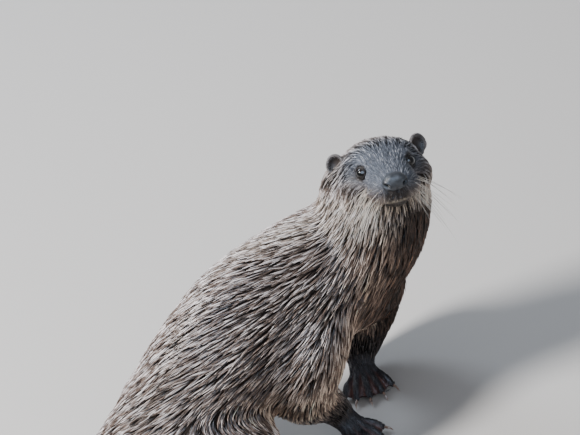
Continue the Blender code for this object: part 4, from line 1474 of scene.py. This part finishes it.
def finish_claws():
    material = claw_material()
    for name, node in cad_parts.items():
        if name.startswith("claw_"):
            node.data.materials.clear()
            node.data.materials.append(material)
            smooth = node.modifiers.new("smooth", "SUBSURF")
            smooth.levels = smooth.render_levels = 2


# ---------------- stage

FLOOR_REACH = 6.0  # metres to each side
VIEW_AT = (-2.05, 0.44, 27.4)
VIEW_TURN, VIEW_RISE, VIEW_ROLL = 12.0, 36.0, 18.0  # degrees
VIEW_DISTANCE = 3.5
VIEW_WIDTH = 0.6237  # metres of the scene across the frame, at the otter
# Each light's place from the camera's target, diameter, power and colour.
LIGHTS = {
    "key": ((-1.5, 0.1, 1.9), 0.7, 102.0, (1.0, 0.97, 0.94)),
    "rim": ((-0.5, 1.9, 1.4), 0.9, 22.0, (0.80, 0.89, 1.0)),
    "fill": ((0.5, -2.2, 1.2), 1.6, 5.0, (1.0, 0.96, 0.92)),
    "sky": ((-0.2, -1.5, 2.3), 2.4, 90.0, (0.58, 0.75, 1.0)),
}


def add_stage(target):
    mesh = bpy.data.meshes.new("floor")
    corners = [(x * FLOOR_REACH, y * FLOOR_REACH, 0) for x, y in ((-1, -1), (1, -1), (1, 1), (-1, 1))]
    mesh.from_pydata(corners, [], [(0, 1, 2, 3)])
    mesh.materials.append(Finish("floor", Roughness=0.9).coloured((0.62, 0.61, 0.60, 1)))
    floor = add_object("floor", mesh)
    world = bpy.data.worlds.new("studio")
    bpy.context.scene.world = world
    world.use_nodes = True
    background = world.node_tree.nodes["Background"]
    background.inputs["Color"].default_value = (0.84, 0.88, 0.95, 1)
    background.inputs["Strength"].default_value = 0.34
    for name, (place, size, power, colour) in LIGHTS.items():
        lamp = bpy.data.lights.new(name, "AREA")
        lamp.shape, lamp.size = "DISK", size
        lamp.energy, lamp.color = power, colour
        obj = add_object(name, lamp)
        obj.location = target + Vector(place)
        obj.rotation_euler = (-Vector(place)).to_track_quat("-Z", "Y").to_euler()
        obj.visible_diffuse = name != "sky"  # only its reflection is wanted


def add_camera():
    """The photograph's view; returns the point that it looks at."""
    turn, rise = math.radians(VIEW_TURN), math.radians(VIEW_RISE)
    back = Vector((-math.sin(turn) * math.cos(rise), -math.cos(turn) * math.cos(rise), math.sin(rise)))
    target = at_body(*VIEW_AT)
    data = bpy.data.cameras.new("camera")
    data.sensor_width = 36.0
    data.lens = data.sensor_width * VIEW_DISTANCE / VIEW_WIDTH
    data.clip_start, data.clip_end = 0.1, 30.0
    camera = add_object("camera", data)
    camera.location = target + back * VIEW_DISTANCE
    camera.rotation_mode = "QUATERNION"
    level = (-back).to_track_quat("-Z", "Y")
    camera.rotation_quaternion = level @ Matrix.Rotation(-math.radians(VIEW_ROLL), 4, "Z").to_quaternion()
    bpy.context.scene.camera = camera
    return target


THIN_HAIR = (9.0, 4.0)  # mm, lengths over which the skin comes to be seen between the hairs
SKIN_SHADE, THIN_SHADE = 0.12, 0.79  # painted shade on the skin: how light it is under long hair, and how much more under short


def main():
    add_stage(add_camera())
    mesh = make_skin()
    skin = Skin(mesh)
    add_colours(mesh, "mark", marks(skin.points, skin.normals))
    thin = smoothstep(*THIN_HAIR, hair_kinds(skin.points)[:, 0])
    # painted shade on the skin, darkest under long hair
    add_values(mesh, "shade", SKIN_SHADE + THIN_SHADE * thin)
    add_grain(mesh, skin.points)
    keep("skin", mesh, skin_material(), "coat", *BODY, *LEGS, *PAWS)
    hair = coat_material()
    add_coat(skin, hair)
    add_ear_fur(hair)
    finish_claws()
    add_eyes()
    add_nose()
    add_ears()
    add_whiskers(skin)


main()
